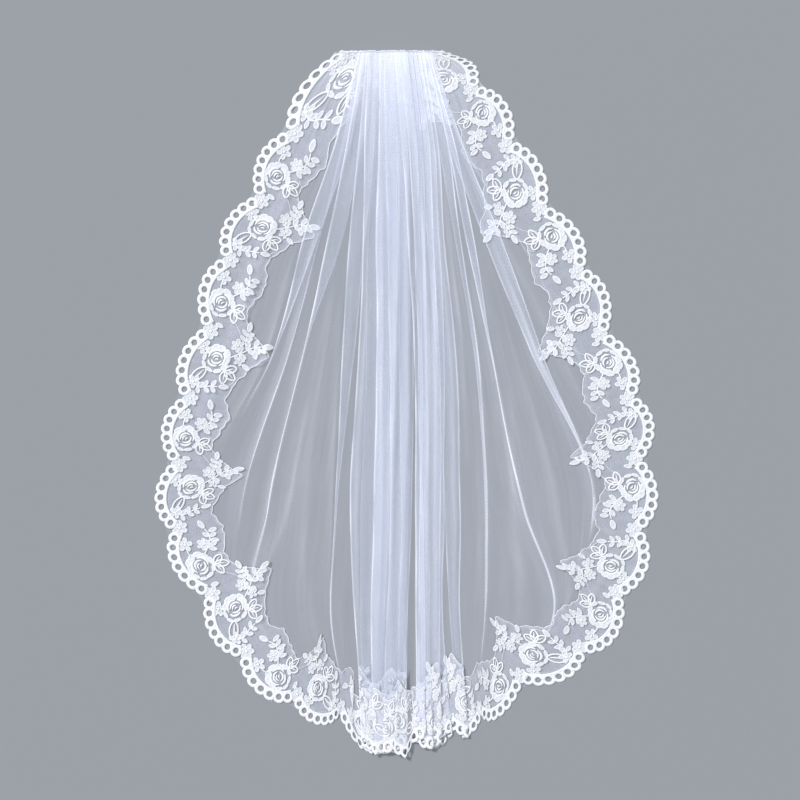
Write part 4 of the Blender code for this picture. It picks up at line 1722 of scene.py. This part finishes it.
@dataclass
class Heading:
    """The gathered top edge, rolled and bound."""

    tulle: Tulle
    first: float = -88.0 * MM
    last: float = 48.0 * MM
    steps: int = 230
    sides: int = 10
    depth: float = 1.3 * MM
    reach: float = 3.0 * MM           # within which the roll covers the tulle's folds
    smoothing: int = 8                # steps on each side over which its height is averaged
    cover_up: float = 0.7 * MM        # of the roll over the folds
    ahead: float = 0.4 * MM           # of the roll's middle before the tulle's edge

    # The size, the spacing and the waves of its lumps, and of its sway along Y in millimetres
    LUMPS = ((0.30, 0.007, Seed.ROLL_LUMPS), (0.22, 0.0026, Seed.ROLL_SMALL_LUMPS))
    SWAYS = ((0.55, 0.016, Seed.ROLL_SWAY), (0.35, 0.005, Seed.ROLL_SMALL_SWAY))

    def build(self) -> bpy.types.Object:
        """Makes the roll as a lumpy tube along the heading.

        Returns:
            The piece.
        """
        x = np.linspace(self.first, self.last, self.steps)
        top = np.zeros_like(x)
        for number in range(len(self.tulle.stretch)):
            spot = self.tulle.points[0, number]
            top = np.where(np.abs(x - spot[0]) < self.reach, np.maximum(top, spot[2]), top)
        window = np.ones(2 * self.smoothing + 1) / (2 * self.smoothing + 1)
        soft = np.convolve(np.pad(top, self.smoothing, mode="edge"), window, mode="valid")
        half = soft / 2 + self.cover_up
        lump = sum((size * ripple(x / spacing, seed) for size, spacing, seed in self.LUMPS), 1.0)
        ends = np.sqrt(np.clip(np.minimum(x - self.first, self.last - x) / self.reach, 0.02, 1.0))
        angle = np.linspace(0.0, 2 * math.pi, self.sides, endpoint=False)
        sway = sum(size * ripple(x / spacing, seed) for size, spacing, seed in self.SWAYS)
        y = HEADING_Y + self.ahead + sway * MM
        points = np.zeros((self.steps, self.sides, 3))
        points[..., 0] = x[:, None]
        points[..., 1] = y[:, None] + (self.depth * lump * ends)[:, None] * np.cos(angle)
        points[..., 2] = half[:, None] + (half * (0.9 + 0.1 * lump) * ends)[:, None] * np.sin(angle)
        points[..., :2] += SHIFT
        faces = []
        for step in range(self.steps - 1):
            faces += band_faces(step * self.sides, (step + 1) * self.sides, self.sides)
        faces.append(lid_face(0, self.sides)[::-1])
        faces.append(lid_face((self.steps - 1) * self.sides, self.sides))
        stroke = np.stack(np.broadcast_arrays(x[:, None], angle[None, :] * self.depth), axis=2)
        # Painted light: the roll is lighter where its lumps swell out
        tone = np.broadcast_to((0.5 + 0.5 * lump)[:, None], (self.steps, self.sides))
        return add_mesh("heading_gather", points.reshape(-1, 3), faces, ROLL_FINISH.make(),
                        {"stroke": stroke.reshape(-1, 2)}, {"tone": tone}, shadow=False)


# ---- Studio ----


@dataclass(frozen=True)
class Studio:
    """A plain floor, soft light and a camera straight above the veil."""

    floor_colour: tuple[float, float, float] = (0.29, 0.305, 0.33)
    floor_size: float = 60.0
    lens: float = 85.0
    sensor: float = 36.0
    veil_share: float = 0.8825        # of the view's height
    off_centre: tuple[float, float] = (-0.0086, 0.0025)
    sky_colour: tuple[float, float, float] = (0.93, 0.96, 1.0)
    sky_strength: float = 0.46
    sheer_layers: int = 40            # most layers of net that a ray goes through

    def floor(self) -> bpy.types.Object:
        """A wide plain floor.

        Returns:
            The floor.
        """
        graph = Graph("studio_floor")
        graph.set({"Base Color": (*self.floor_colour, 1.0), "Roughness": 0.8, "Specular IOR Level": 0.1})
        half = self.floor_size / 2
        corners = np.array(((-half, -half, 0.0), (half, -half, 0.0), (half, half, 0.0), (-half, half, 0.0)))
        return add_mesh("studio_floor", corners, [(0, 1, 2, 3)], graph.material, {}, {})

    def lamp(self, name: str, energy: float, angle: float, azimuth: float, elevation: float,
             colour: tuple[float, float, float]) -> None:
        """A soft distant light.

        Args:
            name: Its name.
            energy: Its strength.
            angle: How wide it is, in degrees of sky.
            azimuth: Where it is round the veil, in degrees from +Y towards +X.
            elevation: How high it is, in degrees.
            colour: Its colour.
        """
        data = bpy.data.lights.new(name, "SUN")
        data.energy = energy
        data.angle = math.radians(angle)
        data.color = colour
        lamp = bpy.data.objects.new(name, data)
        turn, rise = math.radians(azimuth), math.radians(elevation)
        toward = Vector((math.sin(turn) * math.cos(rise), math.cos(turn) * math.cos(rise), math.sin(rise)))
        lamp.rotation_mode = "QUATERNION"
        lamp.rotation_quaternion = toward.to_track_quat("Z", "Y")
        lamp.location = toward * 4.0
        bpy.context.scene.collection.objects.link(lamp)

    def camera(self) -> None:
        """The camera, looking straight down."""
        data = bpy.data.cameras.new("camera")
        data.lens = self.lens
        data.sensor_width = self.sensor
        camera = bpy.data.objects.new("camera", data)
        low, high = CAD_BOX
        view = (high[1] - low[1]) / self.veil_share
        camera.location = (self.off_centre[0], self.off_centre[1], view * self.lens / self.sensor)
        bpy.context.scene.collection.objects.link(camera)
        bpy.context.scene.camera = camera

    def build(self) -> None:
        """Sets up the floor, the lights, the world and the camera."""
        self.floor()
        self.lamp("key", energy=3.0, angle=10.0, azimuth=-52.0, elevation=34.0, colour=(1.0, 1.0, 1.0))
        self.lamp("fill", energy=0.8, angle=60.0, azimuth=118.0, elevation=50.0, colour=(0.94, 0.97, 1.0))
        scene = bpy.context.scene
        scene.world = bpy.data.worlds.new("studio")
        scene.world.use_nodes = True
        backdrop = scene.world.node_tree.nodes["Background"]
        backdrop.inputs["Color"].default_value = (*self.sky_colour, 1.0)
        backdrop.inputs["Strength"].default_value = self.sky_strength
        scene.view_settings.view_transform = "Standard"
        scene.cycles.transparent_max_bounces = self.sheer_layers
        self.camera()


def main() -> None:
    """Builds the veil and its studio."""
    logging.basicConfig(level=logging.INFO, format="%(name)s: %(message)s")
    Studio().build()
    outline = Outline()
    tulle = Tulle(outline)
    ribbon = Ribbon(outline, tulle)
    edging = Edging(ribbon)
    sheet = tulle.build()
    net = edging.build_net()
    thread = THREAD_FINISH.make()
    hem_start, hem_end, total = ribbon.hem_start, ribbon.hem_end, ribbon.total
    work = [edging.build_work("lace_work_left", 0, hem_start, thread),
            edging.build_work("lace_work_hem", hem_start, hem_end, thread),
            edging.build_work("lace_work_right", hem_end, total, thread)]
    heading = Heading(tulle).build()
    for piece in (sheet, net, *work, heading):
        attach(piece, "root")
        report(piece)
    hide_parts("tulle_panel")
    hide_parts("heading_cord")
    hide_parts(*(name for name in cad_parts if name.startswith("lace_")))


if __name__ == "__main__":
    main()
